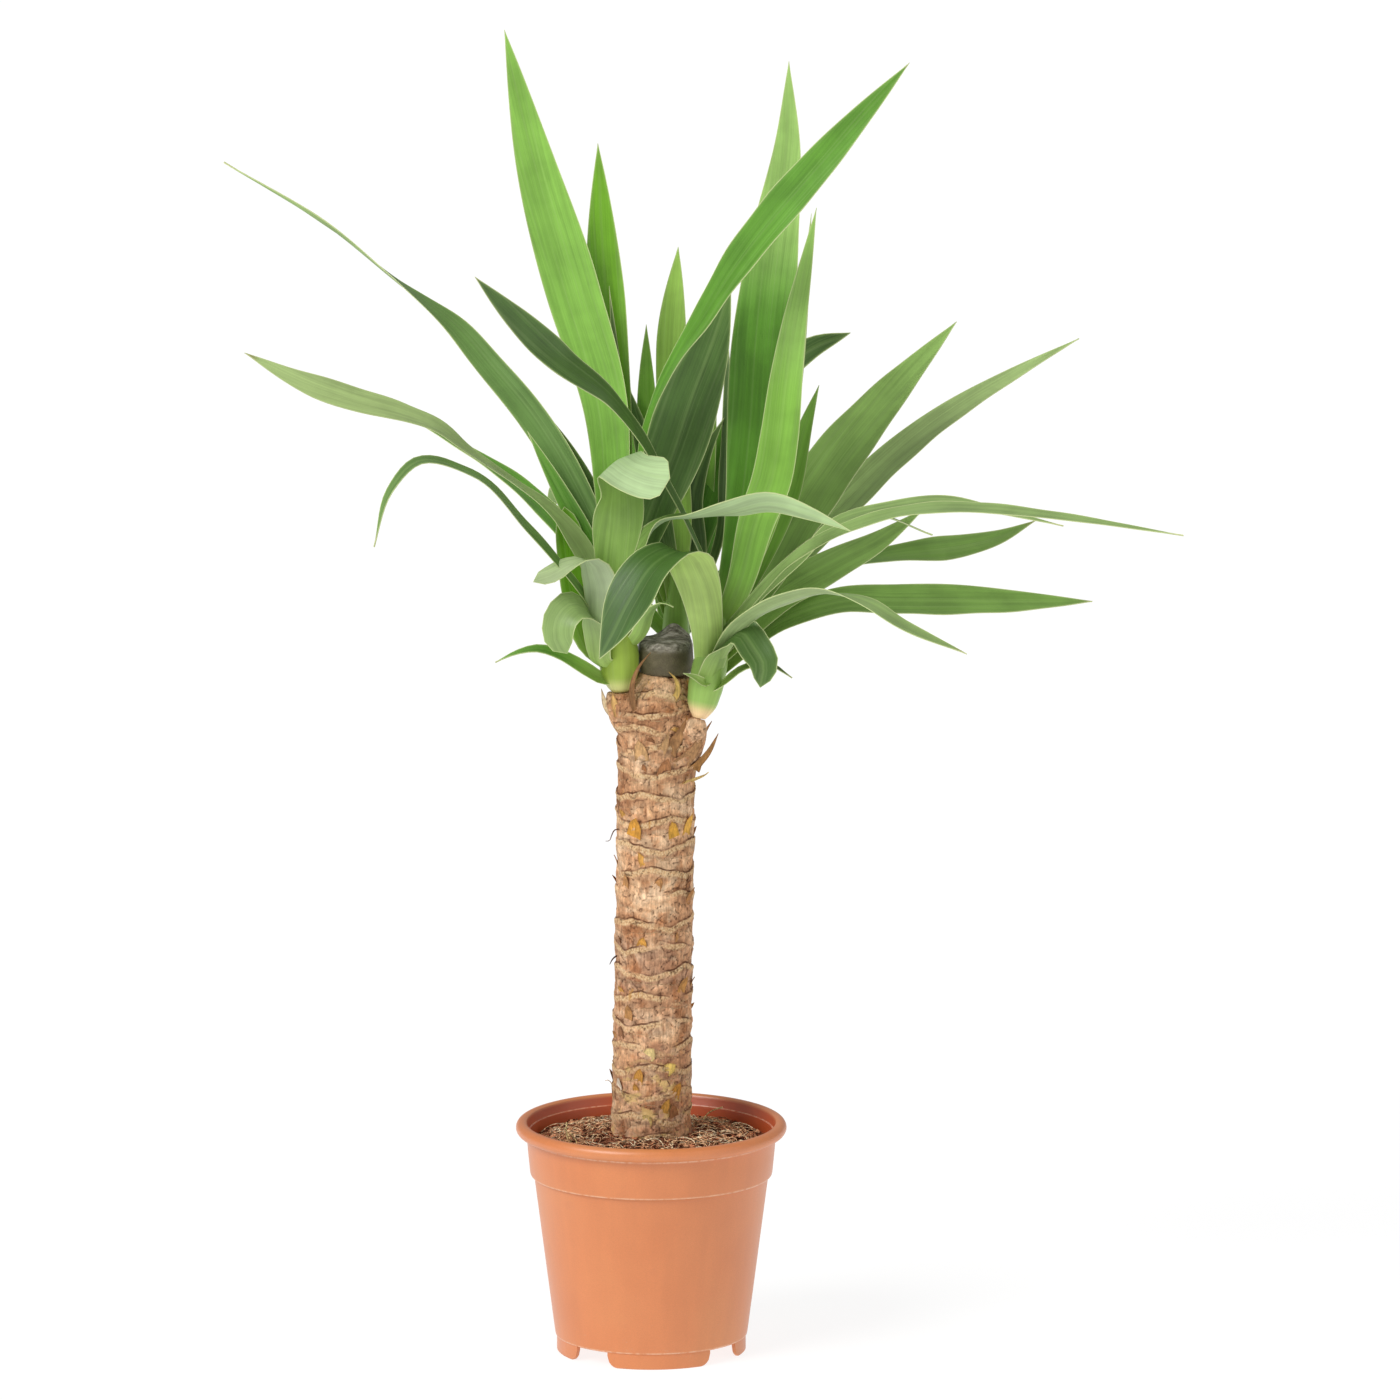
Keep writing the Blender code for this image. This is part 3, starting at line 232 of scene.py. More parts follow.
# Leaf colours, upper side then under side.
TINTS = {
    "bright": ("80b245", "9cc165"), "pale": ("84b64c", "a0c26e"), "glow": ("9fc95a", "a8cf64"),
    "fresh": ("6ea526", "88b352"), "mid": ("5f9430", "93b568"), "soft": ("7f9f52", "aac38e"),
    "grey": ("8aa562", "98af74"), "olive": ("668946", "8fa96a"), "dark": ("506f34", "8ca867"),
    "deep": ("44602c", "7c9a5c"), "sage": ("8db25c", "9cb774"), "mist": ("a5bc78", "aac388"),
    # The whitish silver tint on the next line is painted sheen: a pale copy of the leaf colours, where light
    # glances off a curled blade.
    "arch": ("45662b", "b0cc72"), "silver": ("bccf9a", "bfd0a6"), "fold": ("88ac53", "aac38e"),
    # The light tint on the next line, used by behind_broad, is partly painted sheen: its pale grey-green
    # takes in the light glancing off that blade.
    "plain": ("779d48", "8fa96a"), "light": ("a3bd78", "a9bf86"),
}
# Painted highlight: the outer part of some blades is moved towards this pale tint, for the light that falls
# brightest there.
HIGHLIGHT_TINT = "a6cc72"
HIGHLIGHT_ENDS = {"tall_broad": 0.8, "tall_front": 0.45}     # how much of that painted highlight the outer part takes
ROOT_TINT = "9fc05c"
ROOT_TINT_REACH = 55.0
HIGHLIGHT_FROM, HIGHLIGHT_TO = 0.55, 0.75                 # of the length, where the painted highlight begins and where it is full
DRY_TINT = "8a6238"
DRY_TIPS = {"far_left": 9, "mid_left": 8, "drooping_left": 8, "long_thin": 10, "behind_long": 8,
            "level_right": 6, "drooping_front": 8, "low_thin_left": 5, "low_thin_right": 5,
            "low_middle": 8, "tall_crossing": 5, "crossing_left": 4, "low_back": 7}


def linear(hex_colour):
    """The linear colour for a screen colour such as c9a987."""
    values = [int(hex_colour[i:i + 2], 16) / 255 for i in (0, 2, 4)]
    return [v / 12.92 if v <= 0.04045 else ((v + 0.055) / 1.055) ** 2.4 for v in values] + [1.0]


class Graph:
    """A short way to write a material's nodes. Colours may be given as screen colours."""

    def __init__(self, name):
        self.material = bpy.data.materials.new(name)
        self.material.use_nodes = True
        self.tree = self.material.node_tree
        self.shader = self.tree.nodes["Principled BSDF"]

    def put(self, socket, value):
        if isinstance(value, bpy.types.NodeSocket):
            self.tree.links.new(value, socket)
        else:
            socket.default_value = linear(value) if isinstance(value, str) else value

    def node(self, kind, inputs, output=0, **settings):
        """Makes a node and gives one of its outputs."""
        made = self.tree.nodes.new("ShaderNode" + kind)
        for key, value in settings.items():
            setattr(made, key, value)
        for key, value in inputs.items():
            self.put(made.inputs[key], value)
        return made.outputs[output]

    def math(self, operation, a, b=0.0):
        return self.node("Math", {0: a, 1: b}, operation=operation)

    def plus(self, a, b):
        return self.math("ADD", a, b)

    def times(self, first, *others):
        for factor in others:
            first = self.math("MULTIPLY", first, factor)
        return first

    def place(self, factors=(1, 1, 1)):
        """The place in the frame, in millimetres times the factors."""
        inputs = {0: self.node("TexCoord", {}, "Object"), 1: [f / MM for f in factors]}
        return self.node("VectorMath", inputs, operation="MULTIPLY")

    def height(self):
        return self.node("SeparateXYZ", {0: self.place()}, 2)

    def noise(self, vector, scale, detail=3.0, roughness=0.55):
        return self.node("TexNoise", {"Vector": vector, "Scale": scale, "Detail": detail,
                                      "Roughness": roughness}, "Fac")

    def cells(self, vector, scale):
        return self.node("TexVoronoi", {"Vector": vector, "Scale": scale}, "Distance")

    def value(self, name, output="Fac"):
        """A value or colour that the mesh holds at its points."""
        return self.node("Attribute", {}, output, attribute_name=name)

    def fade(self, value, start, end, low=0.0, high=1.0):
        """Goes from low where the value is start to high where it is end."""
        return self.node("MapRange", {0: value, 1: start, 2: end, 3: low, 4: high},
                         interpolation_type="SMOOTHSTEP")

    def over(self, base, colour, *shares):
        """A colour laid over another, as strongly as the product of the shares."""
        inputs = dict(zip(MIX_SOCKETS, (self.times(*shares), base, colour)))
        return self.node("Mix", inputs, MIXED_COLOUR, data_type="RGBA")

    def ramp(self, value, stops):
        made = self.node("ValToRGB", {0: value})
        elements = made.node.color_ramp.elements
        while len(elements) < len(stops):
            elements.new(0.5)
        for element, (place, hex_colour) in zip(elements, stops):
            element.position = place
            element.color = linear(hex_colour)
        return made

    def brighter(self, colour, factor):
        """A colour times a factor."""
        return self.node("VectorMath", {0: colour, "Scale": factor}, operation="SCALE")

    def bump(self, height, distance_mm, strength):
        return self.node("Bump", {"Height": height, "Distance": distance_mm * MM, "Strength": strength})

    def done(self, colour, roughness, shine=0.3, **others):
        """Sets the shader's inputs and gives the material."""
        inputs = {"Base Color": colour, "Roughness": roughness, "Specular IOR Level": shine, **others}
        for name, value in inputs.items():
            self.put(self.shader.inputs[name], value)
        return self.material


class Mesh:
    """Gathers several surfaces, with values at their points, into one object."""

    def __init__(self):
        self.points = []
        self.faces = []
        self.values = {}
        self.count = 0

    def add(self, points, faces, **values):
        points = np.asarray(points, float).reshape(-1, 3)
        self.points.append(points)
        self.faces += [[corner + self.count for corner in face] for face in faces]
        for name, value in values.items():
            width = 4 if name.endswith("colour") else 1
            value = np.asarray(value, float).reshape(-1, width)
            self.values.setdefault(name, []).append(np.broadcast_to(value, (len(points), width)))
        self.count += len(points)

    def build(self, name, material, nodes, sharp_degrees=None):
        """Makes the piece, fixes it to the part's one body and hides the nodes it stands for."""
        mesh = new_mesh(name, (np.concatenate(self.points) + POT_AXIS) * MM, self.faces)
        for title, parts in self.values.items():
            kind, field = ("FLOAT_COLOR", "color") if title.endswith("colour") else ("FLOAT", "value")
            layer = mesh.attributes.new(title, kind, "POINT")
            layer.data.foreach_set(field, np.concatenate(parts).ravel())
        mesh.shade_smooth()
        if sharp_degrees:
            mesh.set_sharp_from_angle(angle=math.radians(sharp_degrees))
        mesh.materials.append(material)
        piece = put_in_scene(name, mesh)
        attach(piece, "root")
        if nodes:
            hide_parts(*nodes)
        return piece


def new_mesh(name, points, faces):
    """A mesh whose faces all look outwards."""
    mesh = bpy.data.meshes.new(name)
    mesh.from_pydata(np.reshape(points, (-1, 3)).tolist(), [], faces)
    shell = bmesh.new()
    shell.from_mesh(mesh)
    bmesh.ops.recalc_face_normals(shell, faces=shell.faces)
    shell.to_mesh(mesh)
    shell.free()
    return mesh


def put_in_scene(name, data):
    thing = bpy.data.objects.new(name, data)
    bpy.context.scene.collection.objects.link(thing)
    return thing


def applied(thing):
    """A mesh of the object with its modifiers applied."""
    graph = bpy.context.evaluated_depsgraph_get()
    return bpy.data.meshes.new_from_object(thing.evaluated_get(graph))


def between(table, place):
    """Reads a table of pairs at a place, or at many places, between its first values."""
    return np.interp(place, [row[0] for row in table], [row[1] for row in table])


def smoothstep(value, start, end):
    share = np.clip((value - start) / (end - start), 0, 1)
    return share * share * (3 - 2 * share)


def grain(points, size, seed):
    """Smooth noise from about -1 to 1 at many points, with features of the given sizes."""
    return np.array([noise.noise(p) for p in points / np.array(size) + seed * SEED_SHIFT])


def layered(points, layers):
    """The sum of several noises, each given by its strength, feature sizes and seed."""
    return sum(strength * grain(points, size, seed) for strength, size, seed in layers)


def unit(vectors):
    return vectors / np.linalg.norm(vectors, axis=1, keepdims=True)


def run_along(points):
    """The distance of each point of a line from its first, along the line."""
    return np.concatenate([[0], np.cumsum(np.linalg.norm(np.diff(points, axis=0), axis=1))])


def spread(places, knots, points):
    """Points between the given ones, which lie at the knots."""
    return np.stack([np.interp(places, knots, column) for column in np.transpose(points)], axis=1)


def capped(rows, sides):
    """The faces of a rod with flat ends, whose points lie in rows round it."""
    faces = []
    for row in range(rows - 1):
        for step in range(sides):
            after = (step + 1) % sides
            faces.append([row * sides + step, row * sides + after,
                          (row + 1) * sides + after, (row + 1) * sides + step])
    return faces + [list(range(sides)), list(range((rows - 1) * sides, rows * sides))]


def turned_points(outline, segments):
    """Points turned round the vertical axis, one row for each point of the outline."""
    angles = np.linspace(0, math.tau, segments, endpoint=False)
    outline = np.array(outline, float)
    radii, heights = outline[:, :1], outline[:, 1:]
    return np.stack([radii * np.cos(angles), radii * np.sin(angles), heights + 0 * angles], axis=2)


def rod_points(stations, sides):
    """Rows of points round a path of stations (x, y, z, radius)."""
    stations = np.array(stations, float)
    along = unit(np.gradient(stations[:, :3], axis=0))
    across = unit(np.cross(along, (0, 1, 0)))
    other = np.cross(along, across)
    angles = np.linspace(0, math.tau, sides, endpoint=False)[None, :, None]
    out = across[:, None] * np.cos(angles) + other[:, None] * np.sin(angles)
    return stations[:, None, :3] + out * stations[:, None, 3:]


def smooth_line(points, count):
    """Evenly spaced points on a smooth curve through the given ones."""
    points = np.array(points, float)
    knots = run_along(points)
    slopes = np.gradient(points, knots, axis=0)
    places = np.linspace(0, knots[-1], CURVE_SAMPLES * len(points))
    piece = np.clip(np.searchsorted(knots, places, side="right") - 1, 0, len(points) - 2)
    span = np.diff(knots)[piece][:, None]
    u = (places[:, None] - knots[piece][:, None]) / span
    curve = ((2 * u**3 - 3 * u**2 + 1) * points[piece] + (u**3 - 2 * u**2 + u) * span * slopes[piece]
             + (3 * u**2 - 2 * u**3) * points[piece + 1] + (u**3 - u**2) * span * slopes[piece + 1])
    run = run_along(curve)
    return spread(np.linspace(0, run[-1], count), run, curve)


def blade_width(place, widths, blunt):
    """The width of a blade at a place from 0 at its root to 1 at its tip."""
    root, full, widest = widths
    if place < widest:
        return root + (full - root) * smoothstep(place, 0, widest)
    share = (place - widest) / (1 - widest)
    if blunt:
        rounding = ROUND_END * (1 - blunt)
        into_end = max(place - 1 + rounding, 0) / rounding
        width = full * (1 - (1 - blunt) * share ** BLUNT_TAPER) * math.sqrt(max(1 - into_end**2, 0))
    else:
        width = full * (1 - share ** TAPER)
    return max(width, TIP_WIDTH * (1 - share) + TIP_END)


def blade_frames(points, looks, count):
    """The middle line of a blade, with its sideways and upward directions at each place."""
    line = smooth_line(points, count)
    along = unit(np.gradient(line, axis=0))
    ways = spread(np.linspace(0, len(looks) - 1, count), range(len(looks)), unit(np.array(looks, float)))
    ways = unit(ways - along * np.sum(ways * along, axis=1, keepdims=True))
    return line, np.cross(along, ways), ways


def towards(colours, hex_colour, share):
    """Colours moved a share of the way to another one."""
    return colours * (1 - share) + np.array(linear(hex_colour)) * share


def leaf_colours(upper, lower, run, length, dry, root_reach, highlight_end):
    """Colours of a blade's upper and under side at each place along it, from root to tip."""
    run = run[:, None]
    root = smoothstep(run, root_reach, 0) if root_reach else 0.0
    tip = smoothstep(run, length - dry, length - dry / 3) if dry else 0.0
    # painted highlight on the outer part of the blade
    pale = highlight_end * smoothstep(run, HIGHLIGHT_FROM * length, HIGHLIGHT_TO * length)
    sides = [towards(np.array(linear(colour)), HIGHLIGHT_TINT, pale) for colour in (upper, lower)]
    return [towards(towards(side, ROOT_TINT, root), DRY_TINT, tip) for side in sides]


def add_blade(mesh, points, widths, looks, blunt=0.0, *, colours, seed, dry=0, thin=1.0,
              root_channel=ROOT_CHANNEL, root_reach=ROOT_TINT_REACH, highlight_end=0.0):
    """One leaf as a closed strip, with its upper points first in each row."""
    length = run_along(points)[-1]
    count = int(np.clip(length / STATION_STEP, FEWEST_STATIONS, MOST_STATIONS))
    line, side, way = blade_frames(points, looks, count)
    share = np.linspace(0, 1, count)
    run = share * length
    half = np.array([blade_width(s, widths, blunt) / 2 for s in share])[:, None]
    across = np.array(ACROSS)
    out = np.abs(across)
    channel = CHANNEL + root_channel * smoothstep(run, ROOT_REACH, 0)
    wave = np.outer(np.sin(run / RIPPLE_LENGTH * math.tau + seed), out**3 * np.sign(across + seed % 2))
    wave *= RIPPLE * smoothstep(run, 0, RIPPLE_START)[:, None]
    rise = half * (channel[:, None] * (np.sqrt(out**2 + BOWL_ROUNDING) - BOWL_LOW) / BOWL_RISE + wave)
    thick = thin * (MIDDLE_THICKNESS + (EDGE_THICKNESS - MIDDLE_THICKNESS) * out ** THINNING) / 2
    middle = line[:, None] + side[:, None] * (half * across)[:, :, None]
    upper, lower = (middle + way[:, None] * (rise + lift)[:, :, None] for lift in (thick, -thick))
    both = np.concatenate([across, across[::-1]])
    n = len(across)
    paint = [np.repeat(tint[:, None], n, 1)
             for tint in leaf_colours(*colours, run, length, dry, root_reach, highlight_end)]
    mesh.add(np.concatenate([upper, lower[:, ::-1]], axis=1), capped(count, 2 * n),
             leaf_colour=np.concatenate(paint, axis=1), across_mm=half * both,
             along_mm=np.repeat(run, 2 * n), edge_mm=half * (1 - np.abs(both)),
             under=np.tile(np.repeat([0.0, 1.0], n), count), blade=seed)


def leaf_material():
    g = Graph("yucca_leaf_looks")
    across, along, edge, seed, under = (g.value(name) for name in
                                        ("across_mm", "along_mm", "edge_mm", "blade", "under"))
    shift = g.times(seed, 3.7)

    def streaks(width, length, detail):
        place = {0: g.times(across, 1 / width), 1: g.times(along, 1 / length), 2: shift}
        return g.noise(g.node("CombineXYZ", place), 1.0, detail)

    fine = streaks(0.8, 60.0, 2.0)
    broad = streaks(4.0, 120.0, 2.0)
    patches = g.noise(g.place(), 0.03, 3.0)
    light = g.plus(g.fade(fine, 0.3, 0.7, 0.92, 1.07), g.fade(broad, 0.3, 0.7, -0.1, 0.1))
    light = g.plus(light, g.fade(patches, 0.35, 0.65, -0.1, 0.1))
    colour = g.brighter(g.value("leaf_colour", "Color"), light)
    # A pale stripe down the middle of some blades: partly their rib, partly a painted highlight along the
    # fold.
    rib_and_sheen = g.fade(g.math("FRACT", g.times(seed, 0.37)), 0.35, 0.5)
    colour = g.over(colour, "a6c774", g.fade(g.math("ABSOLUTE", across), 1.6, 0.2), rib_and_sheen, 0.12)
    # Thin pale lines along the blade: partly fine pale veins, partly painted sheen.
    colour = g.over(colour, "b9cf8e", g.fade(streaks(1.6, 300.0, 1.0), 0.56, 0.66), 0.08)
    colour = g.over(colour, "b4cf84", g.fade(edge, 2.2, 0.5), 0.14)
    colour = g.over(colour, "ccd69a", g.fade(edge, 0.6, 0.25), 0.8)
    gloss = g.plus(g.fade(under, 0.0, 1.0, 0.42, 0.6), g.fade(broad, 0.3, 0.7, -0.06, 0.06))
    return g.done(colour, gloss, Normal=g.bump(g.plus(g.times(fine, 0.5), broad), 0.5, 0.5))


def shoot_axis(place):
    """Where a shoot stands, and the direction that it grows in."""
    base, top = np.array(place["base"], float), np.array(place["top"], float)
    return base, (top - base) / np.linalg.norm(top - base)


def add_core(mesh, place):
    """The middle of a shoot, swollen at its foot."""
    base, axis = shoot_axis(place)
    heights = np.linspace(0, place["girth"][-1][0], CORE_ROWS)
    stations = np.column_stack([base + np.outer(heights, axis), between(place["girth"], heights)])
    foot, flesh = place["tints"]
    tint = towards(np.array(linear(foot)), flesh, smoothstep(heights, *CORE_GREENS)[:, None])
    around = np.tile(np.linspace(0, math.tau * CORE_STREAKS, CORE_SIDES), CORE_ROWS)
    mesh.add(rod_points(stations, CORE_SIDES), capped(CORE_ROWS, CORE_SIDES),
             leaf_colour=np.repeat(tint, CORE_SIDES, 0), across_mm=around + 5.0,
             along_mm=np.repeat(heights, CORE_SIDES), edge_mm=9.0, under=0.0, blade=CORE_SEED)


def make_shoot(name, blades, material):
    place = SHOOTS[name]
    base, axis = shoot_axis(place)
    mesh = Mesh()
    add_core(mesh, place)
    for number, (title, tint, root, points, *form) in enumerate(blades):
        add_blade(mesh, [tuple(base + axis * root)] + points, *form, colours=TINTS[tint],
                  seed=number + 1, dry=DRY_TIPS.get(title, 0), highlight_end=HIGHLIGHT_ENDS.get(title, 0.0))
    mesh.build(f"shoot_{name}_looks", material, [f"shoot_{name}"], LEAF_SHARP)


# Cane: remeshed with its swellings, then given its ring scars and bark by moving its points.
CANE_FOOT = 126.0              # under the soil's surface
CANE_TOP = 434.0
CANE_VOXEL = 0.9
CANE_STEP, CANE_SIDES, BOSS_SIDES = 6.0, 64, 32
SOFTEN_SHARE, SOFTEN_TIMES = 0.5, 6
BOSS_SINK, BOSS_LIP = 4.0, 2.0
CANE_LEAN = [(52, 0), (140, 0), (390, 3.5), (434, 9)]
CANE_GIRTH = [(52, 24.9), (142, 24.9), (220, 24.2), (300, 24.0), (390, 24.2), (404, 24.8),
              (414, 24.8), (420, 23.2), (427, 20.5), (434, 17.2)]
SCAR_HEIGHTS = [142, 155, 170, 186, 200, 215, 232, 248, 264, 279, 296, 312, 328, 344, 360, 376, 391,
                403, 414, 424]
SCAR_WAVE = 3.0
SCAR_LOBES = 3
SCAR_TWIST = 0.38
SCAR_CREST, SCAR_DROP, SCAR_STEP = 0.9, 0.4, 1.3
SCAR_FAR = 8.0                 # above the last scar and below the first
BARK_TOP = 432.0               # the scars fade out above it
BARK_FADE = 6                  # the height over which they fade
SWELLING_FADE = (7.0, 3.0)     # the same, off the trunk
LEAST_SCAR = 0.35              # of a scar's step, where it is broken
BAND_FADES = (5.0, 2.2), (0.1, 0.8)             # below a scar, for its torn fibres
BROKEN_FADE, PATCHY_FADE = (-0.5, 0.1), (-0.35, 0.15)
TORN_DEPTH, CREASE_DEPTH = 0.6, 0.8
CREASE_FADE, CREASE_DARK = (0.08, 0.0), (0.055, 0.0)
# Noises: strength, feature sizes and seed.
RAGGED = [(1.3, (6, 6, 90), 1), (1.6, (22, 22, 300), 14)]
BARK_RELIEF = [(0.3, (2.2, 2.2, 14), 3), (0.9, (14, 14, 10), 4), (0.12, (1.5, 1.5, 1.5), 6)]
# Noises: feature sizes and seed.
BROKEN, PATCHY = ((20, 20, 6), 15), ((16, 16, 9), 5)
TORN, CREASES = ((1.6, 1.6, 2.4), 2), ((7, 7, 5), 16)

# Wax on the cut top of the cane, turned from an outline.
WAX_CENTRE = (9, 0)
WAX_OUTLINE = [(0, 434.3), (15.8, 434.3), (16.6, 434.8), (17.2, 436.5), (17.5, 441), (17.4, 447),
               (17.1, 451.5), (16.4, 453.9), (15, 455.1), (10, 455.5), (7, 455.6), (3.5, 455.7),
               (0, 455.8)]
WAX_BUMP = (5.5, 7, 8.5)       # place from the middle, and height
WAX_BUMP_RADIUS = 8.0
WAX_ROWS, WAX_SEGMENTS = 70, 96
WAX_TOP_FADE = (448, 453)      # heights between which the side turns into the cut top
WAX_RIDGES, WAX_LUMPS = ((9, 2.2, 30), 8), ((9, 9, 9), 9)    # noises: feature sizes and seed
WAX_RIDGES_FROM, WAX_UNEVEN = 6, 0.02           # from the middle; share of the radius

# Bark that stands off the cane: angle round it (0 right, -90 front), height, the angle and height
# that its tip reaches, how far the tip stands off, the width, and the colour.
FLAKES = [
    (-125, 333, -117, 346, 2.0, 11, "d99a3c"), (-60, 333, -68, 344, 2.2, 8, "dba33f"),
    (-36, 333, -33, 347, 2.4, 8, "e0a948"), (-110, 262, -104, 270, 1.6, 7, "d79b45"),
    (-112, 176, -106, 186, 1.8, 7, "d49a48"), (-56, 165, -50, 176, 2.2, 8, "cf9442"),
    (-72, 157, -66, 166, 1.6, 6, "d8a24c"), (-88, 300, -80, 308, 1.2, 6, "b8844f"),
    (-30, 288, -25, 299, 2.5, 6, "b07a44"), (-140, 300, -134, 309, 1.8, 6, "b8844f"),
    (-44, 232, -38, 243, 2.0, 7, "c08a4a"), (-130, 216, -126, 226, 1.8, 7, "b98650"),
    (-80, 372, -74, 384, 1.6, 9, "a9744a"), (-112, 382, -116, 396, 2.0, 10, "c79c6a"),
    (-148, 170, -138, 178, 2.4, 8, "f0dfc6"), (-98, 192, -88, 199, 2.0, 9, "e8cf8e"),
    (-70, 183, -58, 188, 2.6, 8, "e2c26a"), (-100, 150, -92, 156, 1.4, 9, "dcc27c"),
]
MORE_FLAKES = 44
FLAKE_COLOURS = ["b8844f", "a9744a", "c9975a", "8f6240", "d09a4c"]
# The small ones at random places: their angles at the back and the front, the share at the back,
# and the ranges of their turn, rise, stand-off and width.
BACK_ANGLES, FRONT_ANGLES, BACK_SHARE = (-10, 200), (-170, -10), 0.7
FLAKE_TURNS, FLAKE_RISES, FLAKE_OFFS, FLAKE_WIDTHS = (-8, 8), (4, 10), (0.4, 1.6), (3, 7)
FLAKE_SINK, FLAKE_ARCH, FLAKE_WAIST, FLAKE_WIDEST = 0.6, 1.1, 0.92, 0.15
FLAKE_FORM = {"blunt": 0.12, "thin": 0.5, "root_channel": -0.1, "root_reach": 0}

# Thin threads of bark: points, radius and colour.
THREADS = [
    ([(25, -8, 366), (29, -14, 369), (33, -17, 371.5), (36, -18, 374)], 0.8, "dcc07a"),
    ([(-20, -6, 335), (-23, -9, 335), (-25, -10, 331), (-26, -10, 328.5), (-28.5, -11, 328.5)], 0.45,
     "6b4a3c"),
    ([(-20, -6, 255), (-24, -8, 252.5), (-26, -9, 249)], 0.6, "4a3226"),
    ([(-19, -8, 170), (-24, -11, 172), (-27, -12, 175.5), (-29, -12, 175)], 0.4, "c9a880"),
]
THREAD_STEP, THREAD_SIDES, THREAD_TAPER, FEWEST_POINTS = 1.5, 5, 0.6, 6

# Dry bracts: points, widths as for a blade, the ways the upper side looks, and colour.
BRACTS = [
    ([(16, -14, 364), (21, -17, 377), (28, -17, 391), (38, -15, 406)], (13, 9, 0.2), [(1, -1, 0)],
     "a9743c"),
    ([(-6, -12, 388), (-13, -14, 401), (-20, -13, 412), (-26, -12, 420)], (12, 8, 0.2), [(-1, -1, 0.2)],
     "d8b888"),
    ([(-6, -16, 404), (-12, -21, 424), (-11, -23, 434), (-7, -23, 443), (0, -21, 451)], (6, 4, 0.2),
     [(0, -1, 0)], "9a7048"),
    ([(-14, -10, 402), (-27.8, -11, 415), (-31, -12, 426)], (8, 6, 0.3), [(-0.4, -1, 0.1)], "ead2a8"),
    ([(-20, -17, 410), (-23, -18.5, 419), (-24, -18, 425)], (6, 5, 0.3), [(-0.1, -1, 0.2)], "dcae6c"),
    ([(14, -16, 364), (26, -18, 369), (35, -18, 373)], (4, 3, 0.3), [(0, -0.3, 1)], "dcc07a"),
    ([(12, -20, 417), (17, -21, 428), (15, -19, 434), (11, -18, 438)], (6, 4, 0.2), [(0, -1, 0.3)],
     "d9b566"),
    ([(22, -20, 398), (16, -23, 402), (9, -22, 403)], (6, 4, 0.2), [(0, -1, 0.4)], "c39552"),
    ([(10, -22, 388), (18, -25, 400), (22, -26, 410)], (12, 8, 0.2), [(0.2, -1, 0)], "a87c50"),
    ([(18, -20, 380), (28, -25, 392), (32, -27, 402)], (12, 9, 0.2), [(0.5, -1, 0)], "b0855a"),
    ([(26, -16, 376), (36, -19, 388), (42, -20, 399)], (10, 6, 0.2), [(0.9, -1, 0)], "a97a45"),
    ([(4, -22, 384), (9, -26, 394), (11, -27, 402)], (9, 6, 0.2), [(0, -1, 0)], "bb9264"),
]
BRACT_SHARP = 60
BRACT_FORM = {"thin": 0.6, "root_channel": 0.2, "root_reach": 0}


def scar_lines(angle):
    """Heights of all the scars at an angle round the cane, one column for each scar."""
    lines = []
    for number, height in enumerate(SCAR_HEIGHTS):
        lobe = (angle / math.tau * SCAR_LOBES + (number - 1) * SCAR_TWIST) % 1.0
        lines.append(height + SCAR_WAVE * (4 * np.abs(lobe - 0.5) - 1))
    return np.stack(lines, axis=1)


def remeshed(rough):
    """Points, normals and faces of one closed skin round overlapping parts, in millimetres."""
    thing = put_in_scene("rough", new_mesh("rough", np.concatenate(rough.points), rough.faces))
    skin = thing.modifiers.new("skin", "REMESH")
    skin.mode = "VOXEL"
    skin.voxel_size = CANE_VOXEL
    soften = thing.modifiers.new("soften", "SMOOTH")
    soften.factor = SOFTEN_SHARE
    soften.iterations = SOFTEN_TIMES
    made = applied(thing)
    bpy.data.objects.remove(thing, do_unlink=True)
    points, normals = np.array([(v.co, v.normal) for v in made.vertices]).swapaxes(0, 1)
    return points, normals, [list(p.vertices) for p in made.polygons]


def bark_shape(points, normals):
    """Moves the cane's points out and in, and gives the values that its colours need."""
    height = points[:, 2]
    x = points[:, 0] - between(CANE_LEAN, height)
    off = np.hypot(x, points[:, 1]) - between(CANE_GIRTH, height)
    on_trunk = smoothstep(off, *SWELLING_FADE) * smoothstep(height, BARK_TOP, BARK_TOP - BARK_FADE)
    lines = scar_lines(np.arctan2(points[:, 1], x)) + layered(points, RAGGED)[:, None]
    above = height[:, None] - lines
    since = np.where(above >= 0, above, np.inf).min(axis=1)
    until = np.where(above < 0, -above, np.inf).min(axis=1)
    since, until = (np.where(np.isfinite(v), v, SCAR_FAR) for v in (since, until))
    near = np.take_along_axis(above, np.abs(above).argmin(axis=1)[:, None], axis=1)[:, 0]
    collar = -SCAR_DROP + (SCAR_CREST + SCAR_DROP) * since / (since + until)
    step = np.where(since < SCAR_STEP, SCAR_CREST + (collar - SCAR_CREST) * since / SCAR_STEP, collar)
    broken = smoothstep(grain(points, *BROKEN), *BROKEN_FADE)
    band = math.prod(smoothstep(until, *fade) for fade in BAND_FADES)
    torn = grain(points, *TORN) * band * smoothstep(grain(points, *PATCHY), *PATCHY_FADE)
    creases = np.abs(grain(points, *CREASES))
    move = (on_trunk * step * (LEAST_SCAR + (1 - LEAST_SCAR) * broken) + TORN_DEPTH * torn
            + layered(points, BARK_RELIEF) - CREASE_DEPTH * smoothstep(creases, *CREASE_FADE))
    return points + normals * move[:, None], dict(near_mm=near, on_trunk=on_trunk * broken, torn=torn,
                                                  crack_and_shade=smoothstep(creases, *CREASE_DARK))


